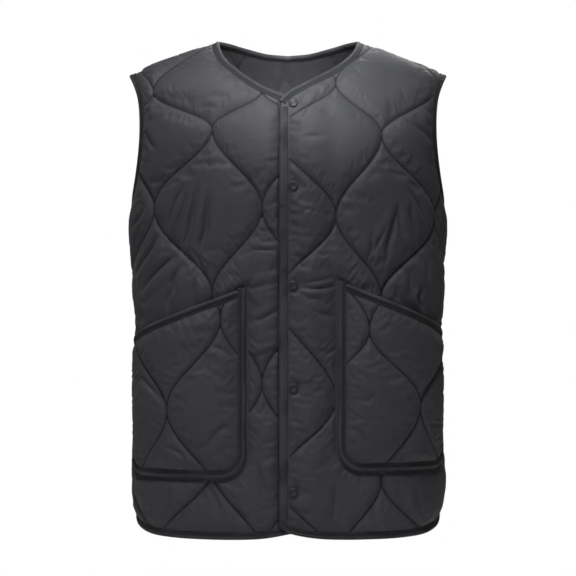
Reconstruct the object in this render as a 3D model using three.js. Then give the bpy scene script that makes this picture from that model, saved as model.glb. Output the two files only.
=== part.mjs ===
// A collarless quilted vest, worn open at neck, hem and armholes and closed by five snaps.
// Millimetres, +Z up, the front faces -Y. The origin is midway between the two shoulder points
// at the neck, on the line where the wearer's shoulders carry the vest.
import * as THREE from "three";

// Driving sizes of the cloth
const seamGap = 0.3; // between two pieces that are sewn together
const edgeWall = 2.4; // wall thickness where it is sewn flat
const puffRise = 6.2; // how far the wadding rises above a stitch line
const puffReach = 11; // distance from a stitch line over which most of that rise happens
const plainWall = 3; // wall behind a pocket and under the overlap

// Binding tape, folded over an edge. Its flaps end a little before the next line of vertices.
const tapeWidth = 8.6;
const frontTapeWidth = 10.7;
const tapeHold = 0.91;
const tapeWall = 1;
const tapeGap = 0.4;

// Front closing, which hangs a little to the wearer's left of the middle
const closingShift = 5;
const overlap = 14.4; // each front reaches this far past the closing's line
const overLift = 5.6; // the upper front lies this far off the body over the lower front
const liftEnd = 64; // girth at which that lift has died out
const rightLower = 9; // the right front's neck and pocket hang this much lower
const flatBeyondClosing = { right: 24, left: 11.5 }; // unpadded cloth past the closing's line
const snapHeights = [-94.2, -201, -332, -467, -604];
const snapOffset = 1.95; // from the closing's line, clear of the tape
const snapRadius = 6.3;
const snapHeight = 2.2;
const studRadius = 4.5;
const studHeight = 1.2;

// Shoulders
const neckHalf = 95; // half the neck's width at the shoulder
const neckPointHeight = -3;
const shoulderHalf = 213.3; // from the middle to the end of the shoulder seam
const shoulderSlope = 0.335;
const shoulderBend = 0.00043;
const crestAngle = 20; // how steeply the cloth falls away at the shoulder seam, in degrees
const crestRound = 0.42; // the crest is this much rounder at the armholes than at the neck

// Both faces fall from the shoulder seam along a curve that steepens over this length of cloth.
const faces = {
  front: { side: -1, fallLength: 238, depth: "front" },
  back: { side: 1, fallLength: 205, depth: "back" },
};

// The body's sections, by how far they lie below the shoulder line
const sections = [
  { drop: 0, halfWidth: 219, front: 120, back: 112, square: 3.2 },
  { drop: 40, halfWidth: 210, front: 120, back: 114, square: 3.0 },
  { drop: 80, halfWidth: 208, front: 121, back: 117, square: 2.8 },
  { drop: 130, halfWidth: 208.5, front: 123, back: 118, square: 2.6 },
  { drop: 177, halfWidth: 208.5, front: 124, back: 117, square: 2.5 },
  { drop: 260, halfWidth: 206.5, front: 123, back: 113, square: 2.4 },
  { drop: 370, halfWidth: 200.5, front: 121, back: 109, square: 2.4 },
  { drop: 480, halfWidth: 203, front: 120, back: 109, square: 2.4 },
  { drop: 555, halfWidth: 206.5, front: 120, back: 110, square: 2.4 },
  { drop: 610, halfWidth: 202, front: 119, back: 109, square: 2.4 },
  { drop: 720, halfWidth: 201, front: 117, back: 107, square: 2.4 },
];

// Outlines. A front is measured from the middle of the body towards its own side.
const frontNecks = {
  right: [
    { across: -19.4, height: -95 },
    { across: 0, height: -85 },
    { across: 24, height: -75 },
    { across: 42.5, height: -65.5 },
    { across: 58.7, height: -54 },
    { across: 71, height: -44 },
    { across: 82, height: -34 },
    { across: 89, height: -23.5 },
    { across: 93.5, height: -11.5 },
    { across: neckHalf, height: neckPointHeight },
  ],
  left: [
    { across: -9.4, height: -91 },
    { across: -4, height: -84.5 },
    { across: 5, height: -78 },
    { across: 16, height: -72 },
    { across: 35, height: -61.5 },
    { across: 56, height: -48.2 },
    { across: 73, height: -36 },
    { across: 85, height: -24.5 },
    { across: 92.5, height: -12 },
    { across: neckHalf, height: neckPointHeight },
  ],
};
const backNeck = [
  { across: 0, height: -17 },
  { across: 30, height: -14.6 },
  { across: 60, height: -8.4 },
  { across: 80, height: -4.2 },
  { across: neckHalf, height: neckPointHeight },
];
// fromSide is the girth between the armhole's edge and the side seam's line, share runs from
// the end of the shoulder seam to the underarm.
const frontArmhole = [
  { share: 0.15, fromSide: 63 },
  { share: 0.32, fromSide: 66 },
  { share: 0.5, fromSide: 65 },
  { share: 0.66, fromSide: 60 },
  { share: 0.8, fromSide: 50 },
  { share: 0.9, fromSide: 36 },
  { share: 0.97, fromSide: 18 },
  { share: 1, fromSide: 0 },
];
const backArmhole = [
  { share: 0.15, fromSide: 58 },
  { share: 0.32, fromSide: 59 },
  { share: 0.5, fromSide: 57 },
  { share: 0.66, fromSide: 52 },
  { share: 0.8, fromSide: 43 },
  { share: 0.9, fromSide: 31 },
  { share: 0.97, fromSide: 16 },
  { share: 1, fromSide: 0 },
];
const underarmDrop = 177;
const hemEndDrop = 600; // about how far below the shoulder line the side seam ends
const frontHems = {
  right: [
    { girth: -19.4, height: -655 },
    { girth: -6, height: -657 },
    { girth: 31, height: -663.5 },
    { girth: 70, height: -665.5 },
    { girth: 125, height: -665.4 },
    { girth: 160, height: -664.4 },
    { girth: 192, height: -662 },
    { girth: 218, height: -657 },
    { girth: 245, height: -650 },
    { girth: 286, height: -636 },
  ],
  left: [
    { girth: -9.4, height: -648 },
    { girth: -4, height: -652.5 },
    { girth: 5, height: -657 },
    { girth: 30, height: -662 },
    { girth: 60, height: -665 },
    { girth: 125, height: -665.4 },
    { girth: 160, height: -664.4 },
    { girth: 192, height: -662 },
    { girth: 218, height: -657 },
    { girth: 245, height: -650 },
    { girth: 286, height: -636 },
  ],
};
const backHem = [
  { girth: 0, height: -667 },
  { girth: 120, height: -666.5 },
  { girth: 170, height: -664 },
  { girth: 205, height: -659 },
  { girth: 240, height: -649 },
  { girth: 283, height: -636 },
];

// Pockets, in a front's girth and height
const pocketFromClosing = 62;
const pocketFromSide = 28;
const pocketTopInner = -327.5;
const pocketTopOuter = -399.5;
const pocketBottom = -574.5;
const pocketCorner = 32;
const pocketDrop = 400; // about how far below the shoulder line the pocket's middle lies
const pocketSeat = 5.3; // inside of the pocket cloth above the body's lining, at its sewn edge
const pocketBulge = 17; // how far the middle of its top stands off further
const pocketSeamOut = 4.2; // the body's wall is sewn down this far outside the pocket's edge

// Quilting: touching waves. Each wave swings between two neighbouring columns, and meets its
// neighbours at the rows. odd says which columns meet at the first row.
const quilts = {
  rightFront: {
    odd: 0,
    columns: [-28, 34, 100, 185, 262, 333],
    rows: [8, -75, -125, -229, -343, -461, -573, -685],
  },
  leftFront: {
    odd: 0,
    columns: [-14, 63, 124, 212, 283, 350],
    rows: [10, -65, -133, -240, -347, -483, -589, -697],
  },
  back: {
    odd: 0,
    columns: [0, 70, 140, 210, 280, 350],
    rows: [45, -35, -120, -232, -345, -460, -575, -690],
  },
  rightPocket: {
    odd: 0,
    columns: [-52, 17, 86, 155, 224, 293],
    rows: [-128, -251, -376, -498, -620],
  },
  leftPocket: {
    odd: 0,
    columns: [-35, 34, 103, 172, 241, 310],
    rows: [-140, -265, -390, -492, -620],
  },
};

// Cell counts of the panels
const neckCells = { front: 8, back: 6 }; // of the back, to each side of its centre
const shoulderCells = { front: 9, back: 8 };
const sideRows = 20;
const armholeRows = 13;
const bodyRows = sideRows + armholeRows;
const pocketCells = 12;
const relaxPasses = 12;

const colours = { shell: 0x3d3e42, tape: 0x2f3034, snap: 0x26272a };

// A smooth curve through a table's rows, as a function
function through(rows, from, to) {
  const at = rows.map((row) => row[from]);
  const value = rows.map((row) => row[to]);
  const last = rows.length - 1;
  const slope = at.map((_, i) => {
    const a = Math.max(i - 1, 0);
    const b = Math.min(i + 1, last);
    return (value[b] - value[a]) / (at[b] - at[a]);
  });
  const rising = at[last] > at[0];
  return (x) => {
    let i = 0;
    while (i < last - 1 && (rising ? x > at[i + 1] : x < at[i + 1])) i += 1;
    const width = at[i + 1] - at[i];
    const t = THREE.MathUtils.clamp((x - at[i]) / width, 0, 1);
    const t2 = t * t;
    const t3 = t2 * t;
    return (
      value[i] * (2 * t3 - 3 * t2 + 1) +
      slope[i] * width * (t3 - 2 * t2 + t) +
      value[i + 1] * (3 * t2 - 2 * t3) +
      slope[i + 1] * width * (t3 - t2)
    );
  };
}

const sectionOf = {
  halfWidth: through(sections, "drop", "halfWidth"),
  front: through(sections, "drop", "front"),
  back: through(sections, "drop", "back"),
  square: through(sections, "drop", "square"),
};

// The fall from the shoulder: for each millimetre of cloth, how far down and how far out it is
function makeFall(length) {
  const crest = THREE.MathUtils.degToRad(crestAngle);
  const down = [0];
  const out = [0];
  for (let c = 1; c <= length; c += 1) {
    const left = 1 - (c - 0.5) / length;
    const angle = crest + (Math.PI / 2 - crest) * (1 - left * left);
    down.push(down[c - 1] + Math.sin(angle));
    out.push(out[c - 1] + Math.cos(angle));
  }
  const reach = out[length];
  const mix = (list, c) => {
    const i = Math.min(Math.floor(c), length - 1);
    return THREE.MathUtils.lerp(list[i], list[i + 1], c - i);
  };
  return {
    down: (c) => (c >= length ? down[length] + c - length : mix(down, Math.max(c, 0))),
    out: (c) => (c >= length ? 1 : mix(out, Math.max(c, 0)) / reach),
    clothAt: (drop) => {
      if (drop >= down[length]) return length + drop - down[length];
      let i = 0;
      while (down[i + 1] < drop) i += 1;
      return i + Math.max(drop - down[i], 0) / (down[i + 1] - down[i]);
    },
  };
}
for (const face of Object.values(faces)) face.fall = makeFall(face.fallLength);

function shoulderHeight(x) {
  const across = Math.abs(x);
  const past = across - neckHalf;
  if (past >= 0) return neckPointHeight - shoulderSlope * past - shoulderBend * past * past;
  return neckPointHeight + (shoulderSlope * neckHalf * (1 - (across / neckHalf) ** 2)) / 2;
}

// A quarter of a body section, from the centre line to the side, with the girth along it
const sectionSteps = 48;
function quarterSection(drop, face) {
  const halfWidth = sectionOf.halfWidth(drop);
  const depth = sectionOf[face.depth](drop);
  const power = 2 / sectionOf.square(drop);
  const points = [{ x: 0, y: depth, along: 0 }];
  for (let i = 1; i <= sectionSteps; i += 1) {
    const angle = (i / sectionSteps) * (Math.PI / 2);
    const before = points[i - 1];
    const x = halfWidth * Math.sin(angle) ** power;
    const y = i === sectionSteps ? 0 : depth * Math.cos(angle) ** power;
    points.push({ x, y, along: before.along + Math.hypot(x - before.x, y - before.y) });
  }
  return points;
}

function walk(points, key, value) {
  let i = 0;
  while (i < points.length - 2 && points[i + 1][key] < value) i += 1;
  const a = points[i];
  const b = points[i + 1];
  const t = THREE.MathUtils.clamp((value - a[key]) / (b[key] - a[key]), 0, 1);
  return {
    x: THREE.MathUtils.lerp(a.x, b.x, t),
    y: THREE.MathUtils.lerp(a.y, b.y, t),
    along: THREE.MathUtils.lerp(a.along, b.along, t),
  };
}

// The girth from the centre line to the side seam at a length of cloth below the shoulder
function sideGirth(cloth, face) {
  return quarterSection(face.fall.down(cloth), face)[sectionSteps].along;
}

// A point of the body's form. girth is signed, cloth is the length below the shoulder line.
function formPoint(girth, cloth, face) {
  const drop = face.fall.down(cloth);
  const section = quarterSection(drop, face);
  const share = Math.abs(girth) / section[sectionSteps].along;
  const { x, y } = walk(section, "along", Math.abs(girth));
  const rounding = 1 - crestRound * THREE.MathUtils.smoothstep(share, 0.4, 0.85);
  return new THREE.Vector3(
    girth < 0 ? -x : x,
    face.side * (seamGap / 2 + y * face.fall.out(cloth) ** rounding),
    shoulderHeight(x) - drop,
  );
}

function formNormal(girth, cloth, face, onSeam) {
  const step = 1.5;
  const across = formPoint(girth + step, cloth, face).sub(formPoint(girth - step, cloth, face));
  const up = formPoint(girth, Math.max(cloth - step, 0), face);
  up.sub(formPoint(girth, cloth + step, face));
  const normal = across.cross(up).multiplyScalar(-face.side);
  if (onSeam) normal.y = 0;
  return normal.normalize();
}

// The cloth length at which a girth reaches a height
function clothAtHeight(girth, height, face) {
  let cloth = face.fall.clothAt(-height);
  for (let pass = 0; pass < 6; pass += 1) {
    const here = formPoint(girth, cloth, face);
    cloth = face.fall.clothAt(Math.max(shoulderHeight(here.x) - height, 0));
  }
  return cloth;
}

// An outline point given across the body and in height, as girth and cloth
function fromAcross(across, height, face) {
  const drop = Math.max(shoulderHeight(across) - height, 0);
  const along = walk(quarterSection(drop, face), "x", Math.abs(across)).along;
  return new THREE.Vector2(across < 0 ? -along : along, face.fall.clothAt(drop));
}

// Quilting waves
function rowPhase(rows, height) {
  let i = 0;
  while (i < rows.length - 2 && height < rows[i + 1]) i += 1;
  return i + (rows[i] - height) / (rows[i] - rows[i + 1]);
}
function waveGirth(quilt, k, height) {
  const [a, b] = [quilt.columns[k], quilt.columns[k + 1]];
  const turn = Math.PI * (rowPhase(quilt.rows, height) + k + quilt.odd);
  return (a + b) / 2 - ((b - a) / 2) * Math.cos(turn);
}
function stitchDistance(quilt, girth, height) {
  let nearest = Infinity;
  for (let k = 0; k < quilt.columns.length - 1; k += 1) {
    const here = waveGirth(quilt, k, height);
    const lean = waveGirth(quilt, k, height + 1) - here;
    nearest = Math.min(nearest, Math.abs(girth - here) / Math.hypot(1, lean));
  }
  return nearest;
}

// A pocket's edges on its front, in girth and height
function pocketShape(hand) {
  const lower = hand < 0 ? rightLower : 0;
  const inner = hand * closingShift + pocketFromClosing;
  const middle = (pocketTopOuter + pocketBottom) / 2 - lower;
  const cloth = faces.front.fall.clothAt(shoulderHeight(sectionOf.halfWidth(pocketDrop)) - middle);
  const outer = sideGirth(cloth, faces.front) - pocketFromSide;
  const topAt = (girth) =>
    THREE.MathUtils.mapLinear(girth, inner, outer, pocketTopInner, pocketTopOuter) - lower;
  return { inner, outer, bottom: pocketBottom - lower, topAt };
}

// How far a point of a front lies outside the pocket's sewn edge; negative is inside it
function outsidePocket(girth, height, { inner, outer, bottom, topAt }) {
  const fromLeft = Math.abs(girth - (inner + outer) / 2) - (outer - inner) / 2 + pocketCorner;
  const fromBottom = bottom - height + pocketCorner;
  const rounded =
    Math.hypot(Math.max(fromLeft, 0), Math.max(fromBottom, 0)) +
    Math.min(Math.max(fromLeft, fromBottom), 0) -
    pocketCorner;
  return Math.max(rounded, height - topAt(girth)) - pocketSeamOut;
}

// Whole numbers from one to another, up or down
const range = (from, to) =>
  Array.from({ length: Math.abs(to - from) + 1 }, (_, i) => from + Math.sign(to - from) * i);

// Meshes
function closedMesh(name, points, triangles, colour) {
  let volume = 0;
  for (const [a, b, c] of triangles) {
    volume += points[a].dot(new THREE.Vector3().crossVectors(points[b], points[c]));
  }
  const index = triangles.flatMap(([a, b, c]) => (volume < 0 ? [a, c, b] : [a, b, c]));
  const geometry = new THREE.BufferGeometry().setFromPoints(points).setIndex(index);
  geometry.computeVertexNormals();
  const material = new THREE.MeshStandardMaterial({
    color: colour,
    roughness: 0.62,
    metalness: 0,
    flatShading: true,
  });
  const mesh = new THREE.Mesh(geometry, material);
  mesh.name = name;
  return mesh;
}

// A wall from a grid of vertices, each with an outer and an inner point and its thickness.
// Each outer cell is split along the diagonal that lies lower, which follows the stitching.
function wallMesh(name, grid) {
  const rows = grid.length;
  const columns = grid[0].length;
  const points = [...grid.flat().map((v) => v.outer), ...grid.flat().map((v) => v.inner)];
  const at = (i, j) => i * columns + j;
  const inside = rows * columns;
  const triangles = [];
  const quad = (a, b, c, d) => triangles.push([a, b, c], [a, c, d]);
  for (let i = 0; i < rows - 1; i += 1) {
    for (let j = 0; j < columns - 1; j += 1) {
      const [a, b, c, d] = [at(i, j), at(i, j + 1), at(i + 1, j + 1), at(i + 1, j)];
      const one = grid[i][j].thick + grid[i + 1][j + 1].thick;
      const other = grid[i][j + 1].thick + grid[i + 1][j].thick;
      if (one <= other) quad(a, b, c, d);
      else quad(b, c, d, a);
      quad(inside + d, inside + c, inside + b, inside + a);
    }
  }
  const rim = [];
  for (let j = 0; j < columns - 1; j += 1) rim.push(at(0, j));
  for (let i = 0; i < rows - 1; i += 1) rim.push(at(i, columns - 1));
  for (let j = columns - 1; j > 0; j -= 1) rim.push(at(rows - 1, j));
  for (let i = rows - 1; i > 0; i -= 1) rim.push(at(i, 0));
  rim.forEach((a, i) => {
    const b = rim[(i + 1) % rim.length];
    quad(b, a, inside + a, inside + b);
  });
  return closedMesh(name, points, triangles, colours.shell);
}

// Distances along a side of a panel: given first and last cells, and even ones between
function spread(length, cells, first, last) {
  const head = first ? 1 : 0;
  const tail = last ? 1 : 0;
  const even = (length - first - last) / (cells - head - tail);
  return Array.from({ length: cells + 1 }, (_, i) => {
    if (i === 0) return 0;
    return i === cells ? length : first + even * (i - head);
  });
}

// A panel's vertices between its four outlines, each a list of points in girth and cloth
function coons({ bottom, top, left, right }) {
  const rows = left.length - 1;
  const columns = bottom.length - 1;
  const corners = [bottom[0], bottom[columns], top[0], top[columns]];
  return left.map((_, i) =>
    bottom.map((_, j) => {
      const t = i / rows;
      const s = j / columns;
      const point = new THREE.Vector2();
      point.addScaledVector(bottom[j], 1 - t).addScaledVector(top[j], t);
      point.addScaledVector(left[i], 1 - s).addScaledVector(right[i], s);
      point.addScaledVector(corners[0], -(1 - s) * (1 - t));
      point.addScaledVector(corners[1], -s * (1 - t));
      point.addScaledVector(corners[2], -(1 - s) * t).addScaledVector(corners[3], -s * t);
      return { girth: point.x, cloth: point.y };
    }),
  );
}

// The point at a distance into the cloth from an edge that runs along a direction, with the
// cloth on its right as the panel's outside is seen
function insetPoint(v, along, distance, face) {
  let { girth, cloth } = v;
  const steps = 4;
  const reach = 0.5;
  for (let n = 0; n < steps; n += 1) {
    const here = formPoint(girth, cloth, face);
    const byGirth = formPoint(girth + reach, cloth, face).sub(here).divideScalar(reach);
    const byCloth = formPoint(girth, cloth + reach, face).sub(here).divideScalar(reach);
    const inward = byGirth.clone().cross(byCloth).cross(along).setLength(distance / steps);
    const [a, b, c] = [byGirth.lengthSq(), byGirth.dot(byCloth), byCloth.lengthSq()];
    const [p, q] = [inward.dot(byGirth), inward.dot(byCloth)];
    girth += (c * p - b * q) / (a * c - b * b);
    cloth += (a * q - b * p) / (a * c - b * b);
  }
  return { girth, cloth };
}

// Sets the vertices beside an edge at the tape's width from it. Each pair is the place of an
// edge vertex and of the vertex to set, in order along the edge.
function insetEdge(grid, pairs, face) {
  const position = ([i, j]) => formPoint(grid[i][j].girth, grid[i][j].cloth, face);
  for (let n = 1; n < pairs.length - 1; n += 1) {
    const along = position(pairs[n + 1][0]).sub(position(pairs[n - 1][0]));
    const [i, j] = pairs[n][0];
    const [k, l] = pairs[n][1];
    grid[k][l] = insetPoint(grid[i][j], along, tapeWidth, face);
    grid[k][l].fixed = true;
  }
}

// Evens out the vertices that no edge holds.
function relax(grid) {
  for (let pass = 0; pass < relaxPasses; pass += 1) {
    for (let i = 1; i < grid.length - 1; i += 1) {
      for (let j = 1; j < grid[0].length - 1; j += 1) {
        const v = grid[i][j];
        if (v.fixed) continue;
        const around = [grid[i - 1][j], grid[i + 1][j], grid[i][j - 1], grid[i][j + 1]];
        v.girth = around.reduce((sum, n) => sum + n.girth, 0) / 4;
        v.cloth = around.reduce((sum, n) => sum + n.cloth, 0) / 4;
      }
    }
  }
}

// Moves, for each line that crosses a grid edge, the nearer end of that edge onto the line.
function snapToLines(grid, lines, heightAt) {
  const free = (i, j) =>
    i > 1 && j > 1 && i < grid.length - 2 && j < grid[0].length - 2 && !grid[i][j].onLine;
  const snap = (line, i, j, k, l) => {
    const [a, b] = [grid[i][j], grid[k][l]];
    const [fa, fb] = [line(a.girth, heightAt(a)), line(b.girth, heightAt(b))];
    if (!(fa * fb < 0)) return;
    const t = fa / (fa - fb);
    const [near, row, column] = t < 0.5 ? [a, i, j] : [b, k, l];
    if (!free(row, column)) return;
    const girth = THREE.MathUtils.lerp(a.girth, b.girth, t);
    near.cloth = THREE.MathUtils.lerp(a.cloth, b.cloth, t);
    near.girth = girth;
    near.onLine = true;
  };
  for (const line of lines) {
    for (let i = 0; i < grid.length; i += 1) {
      for (let j = 0; j < grid[0].length - 1; j += 1) snap(line, i, j, i, j + 1);
    }
    for (let i = 0; i < grid.length - 1; i += 1) {
      for (let j = 0; j < grid[0].length; j += 1) snap(line, i, j, i + 1, j);
    }
  }
}

// Gives each vertex of a grid its inner and outer point. On a seam that lies in the middle
// plane the wall stands square to that plane.
function raise(grid, face, hand, liftAt, thickAt) {
  grid.forEach((row, i) =>
    row.forEach((v, j) => {
      const onSeam = v.cloth < 0.01 || v.girth > sideGirth(v.cloth, face) - 0.01;
      const base = formPoint(hand * v.girth, v.cloth, face);
      v.normal = formNormal(hand * v.girth, v.cloth, face, onSeam);
      v.thick = thickAt(v, i, j, base.z);
      v.inner = base.clone().addScaledVector(v.normal, liftAt(v, base.z));
      v.outer = v.inner.clone().addScaledVector(v.normal, v.thick);
    }),
  );
  for (const v of grid.flat().filter((each) => each.onChord)) {
    const [a, b] = v.onChord.map(([i, j]) => grid[i][j]);
    v.outer.lerpVectors(a.outer, b.outer, 0.5);
    v.inner.lerpVectors(a.inner, b.inner, 0.5);
  }
  return grid;
}

// A front, or half of the back, from its centre to its own side. start is the girth of its
// centre edge, and centreCell the width of the cells beside that edge.
function bodyGrid(face, neck, armhole, hem, start, centreCell) {
  const neckCount = neckCells[face.depth];
  const columns = neckCount + shoulderCells[face.depth];
  const rows = bodyRows;
  const point = (girth, cloth) => new THREE.Vector2(girth, cloth);
  const hemAt = through(hem, "girth", "height");
  const hemPoint = (girth) => point(girth, clothAtHeight(girth, hemAt(girth), face));

  const sideX = sectionOf.halfWidth(hemEndDrop);
  const sideCloth = face.fall.clothAt(shoulderHeight(sideX) - hem.at(-1).height);
  const hemEnd = sideGirth(sideCloth, face);
  const bottom = spread(hemEnd - start, columns, centreCell, 0).map((d) => hemPoint(start + d));
  bottom[columns] = point(hemEnd, sideCloth);

  const neckLine = new THREE.SplineCurve(neck.map((p) => fromAcross(p.across, p.height, face)));
  const neckLength = neckLine.getLength();
  const onShoulder = (across) => fromAcross(across, shoulderHeight(across), face);
  const top = [
    ...spread(neckLength, neckCount, centreCell, 0).map((d) =>
      neckLine.getPointAt(d / neckLength),
    ),
    ...spread(shoulderHalf - neckHalf, columns - neckCount, tapeWidth, tapeWidth)
      .slice(1)
      .map((d) => onShoulder(neckHalf + d)),
  ];

  const centreLength = bottom[0].y - top[0].y;
  const left = spread(centreLength, rows, tapeWidth, tapeWidth).map((d) =>
    point(start, bottom[0].y - d),
  );

  const underarm = face.fall.clothAt(underarmDrop);
  const armPoints = armhole.map((p) => {
    const cloth = underarm * p.share;
    return point(sideGirth(cloth, face) - p.fromSide, cloth);
  });
  const armLine = new THREE.SplineCurve([...armPoints.reverse(), top[columns]]);
  const sideLength = sideCloth - underarm;
  const right = spread(sideLength, sideRows, tapeWidth, tapeWidth).map((d) => {
    return point(sideGirth(sideCloth - d, face), sideCloth - d);
  });
  for (let n = 1; n <= armholeRows; n += 1) right.push(armLine.getPointAt(n / armholeRows));

  const grid = coons({ bottom, top, left, right });
  const set = (i, j, girth, cloth) => {
    grid[i][j] = { girth, cloth, fixed: true };
  };
  // A vertex where the tape turns a corner, on the straight line between its two neighbours
  const halfway = (i, j, [k, l], [m, n]) => {
    const [a, b] = [grid[k][l], grid[m][n]];
    set(i, j, (a.girth + b.girth) / 2, (a.cloth + b.cloth) / 2);
    grid[i][j].onChord = [[k, l], [m, n]];
  };
  insetEdge(
    grid,
    range(columns, 0).map((j) => [[0, j], [1, j]]),
    face,
  );
  insetEdge(
    grid,
    range(0, neckCount).map((j) => [[rows, j], [rows - 1, j]]),
    face,
  );
  insetEdge(
    grid,
    range(rows, sideRows).map((i) => [[i, columns], [i, columns - 1]]),
    face,
  );
  if (centreCell) {
    for (let i = 2; i < rows - 1; i += 1) set(i, 1, start + centreCell, grid[i][0].cloth);
    const low = hemPoint(start + centreCell).y;
    set(1, 1, start + centreCell, low - 1.03 * tapeWidth);
    const high = neckLine.getPointAt(centreCell / neckLength);
    set(rows - 1, 1, start + centreCell, high.y + 1.12 * tapeWidth);
  }
  halfway(rows - 1, neckCount, [rows - 1, neckCount - 1], [rows, neckCount + 1]);
  halfway(sideRows, columns - 1, [sideRows + 1, columns - 1], [sideRows - 1, columns]);
  relax(grid);
  return grid;
}

function puffThickness(distance) {
  return edgeWall + puffRise * (1 - Math.exp(-distance / puffReach));
}

// Fronts. hand is 1 for the wearer's left, which is +X, and -1 for the right.
function frontPanel(side, hand, quilt, lift) {
  const face = faces.front;
  const closing = hand * closingShift;
  const start = closing - overlap;
  const grid = bodyGrid(face, frontNecks[side], frontArmhole, frontHems[side], start, frontTapeWidth);
  const heightAt = (v) => formPoint(v.girth, v.cloth, face).z;
  const pocket = pocketShape(hand);
  const pocketEdge = (girth, height) => outsidePocket(girth, height, pocket);
  const waves = quilt.columns.slice(1).map((_, k) => (girth, height) => {
    return pocketEdge(girth, height) < 0 ? NaN : girth - waveGirth(quilt, k, height);
  });
  snapToLines(grid, [pocketEdge, ...waves], heightAt);
  const lastRow = grid.length - 1;
  const lastColumn = grid[0].length - 1;
  const flatEnd = closing + flatBeyondClosing[side];
  const sewn = (i, j) =>
    i <= 1 ||
    j <= 1 ||
    i === lastRow ||
    j === lastColumn ||
    (i >= sideRows && j === lastColumn - 1) ||
    (i === lastRow - 1 && j <= neckCells.front);
  raise(
    grid,
    face,
    hand,
    (v) => lift * (1 - THREE.MathUtils.smoothstep(v.girth, start + 2 * overlap + 6, liftEnd)),
    (v, i, j, height) => {
      if (sewn(i, j)) return edgeWall;
      const outside = pocketEdge(v.girth, height);
      if (outside < 0.5 || v.girth < flatEnd) return plainWall;
      const stitched = v.onLine ? 0 : stitchDistance(quilt, v.girth, height);
      return puffThickness(Math.min(stitched, outside, v.girth - flatEnd));
    },
  );
  return grid;
}

// The back is one piece, made as a half and its mirror image.
function backPanel() {
  const face = faces.back;
  const quilt = quilts.back;
  const half = bodyGrid(face, backNeck, backArmhole, backHem, 0, 0);
  const heightAt = (v) => formPoint(v.girth, v.cloth, face).z;
  const waves = quilt.columns.slice(1).map((_, k) => (girth, height) => {
    return girth - waveGirth(quilt, k, height);
  });
  snapToLines(half, waves, heightAt);
  const lastRow = half.length - 1;
  const lastColumn = half[0].length - 1;
  const sewn = (i, j) =>
    i <= 1 ||
    i === lastRow ||
    j === lastColumn ||
    (i >= sideRows && j === lastColumn - 1) ||
    (i === lastRow - 1 && j <= neckCells.back);
  const raised = (hand) =>
    raise(
      half.map((row) => row.map((v) => ({ ...v }))),
      face,
      hand,
      () => 0,
      (v, i, j, height) => {
        if (sewn(i, j)) return edgeWall;
        return puffThickness(v.onLine ? 0 : stitchDistance(quilt, v.girth, height));
      },
    );
  const right = raised(-1);
  return raised(1).map((row, i) => [...right[i].slice(1).reverse(), ...row]);
}

// Pockets
function pocketPanel(hand) {
  const face = faces.front;
  const { inner, outer, bottom: low, topAt } = pocketShape(hand);
  const corner = pocketCorner;
  const halfArc = (corner * Math.PI) / 4;
  const straight = outer - inner - 2 * corner;
  const toCloth = (girth, height) =>
    new THREE.Vector2(girth, clothAtHeight(girth, height, face));
  // A side runs from the middle of its rounded bottom corner to the top.
  const side = (edge, inward) =>
    spread(topAt(edge) - low - corner + halfArc, pocketCells, tapeWidth, tapeWidth).map((d) => {
      const angle = Math.PI / 4 - Math.min(d, halfArc) / corner;
      const rise = Math.max(d - halfArc, 0);
      return toCloth(
        edge + inward * corner * (1 - Math.cos(angle)),
        low + corner * (1 - Math.sin(angle)) + rise,
      );
    });
  const bottom = spread(straight + 2 * halfArc, pocketCells, tapeWidth, tapeWidth).map((d) => {
    const first = Math.PI / 4 - Math.min(d, halfArc) / corner;
    const second = Math.max(d - halfArc - straight, 0) / corner;
    const middle = THREE.MathUtils.clamp(d - halfArc, 0, straight);
    return toCloth(
      inner + corner * (1 - Math.sin(first) + Math.sin(second)) + middle,
      low + corner * (2 - Math.cos(first) - Math.cos(second)),
    );
  });
  const top = spread(outer - inner, pocketCells, tapeWidth, tapeWidth).map((d) => {
    return toCloth(inner + d, topAt(inner + d));
  });
  const grid = coons({ bottom, top, left: side(inner, 1), right: side(outer, -1) });
  const heightAt = (v) => formPoint(v.girth, v.cloth, face).z;
  const quilt = hand < 0 ? quilts.rightPocket : quilts.leftPocket;
  const waves = quilt.columns.slice(1).map((_, k) => (girth, height) => {
    return girth - waveGirth(quilt, k, height);
  });
  snapToLines(grid, waves, heightAt);
  const last = pocketCells;
  return raise(
    grid,
    face,
    hand,
    (v, height) => {
      const u = THREE.MathUtils.clamp((v.girth - inner) / (outer - inner), 0, 1);
      const rise = THREE.MathUtils.clamp((height - low) / (topAt(v.girth) - low), 0, 1);
      return pocketSeat + pocketBulge * (1 - (1 - rise) ** 2) * (1 - (2 * u - 1) ** 2);
    },
    (v, i, j, height) => {
      if (i <= 1 || j <= 1 || i >= last - 1 || j >= last - 1) return edgeWall;
      return puffThickness(v.onLine ? 0 : stitchDistance(quilt, v.girth, height));
    },
  );
}

// Binding tape, folded over a panel's edge. A station holds a vertex on the edge and the next
// vertex into the panel. Its section is a U, the outer line first.
function tapeSection({ edge, inner }) {
  const outward = edge.outer.clone().sub(inner.outer).normalize();
  const fold = tapeGap + tapeWall;
  const round = 0.8 * fold;
  const rim = (side, along, off) =>
    edge[side].clone().addScaledVector(outward, along).addScaledVector(edge.normal, off);
  const flap = (side, off) =>
    edge[side].clone().lerp(inner[side], tapeHold).addScaledVector(edge.normal, off);
  return [
    flap("outer", fold),
    rim("outer", round, round),
    rim("inner", round, -round),
    flap("inner", -fold),
    flap("inner", -tapeGap),
    rim("inner", tapeGap, -tapeGap),
    rim("outer", tapeGap, tapeGap),
    flap("outer", tapeGap),
  ];
}

// Which way the tape's face k lies from the cloth: past its edge, under it or over it
function awayFromCloth({ edge, inner }, k) {
  if (k === 1 || k === 5) return edge.outer.clone().sub(inner.outer);
  return k >= 2 && k <= 4 ? edge.normal.clone().negate() : edge.normal;
}

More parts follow.
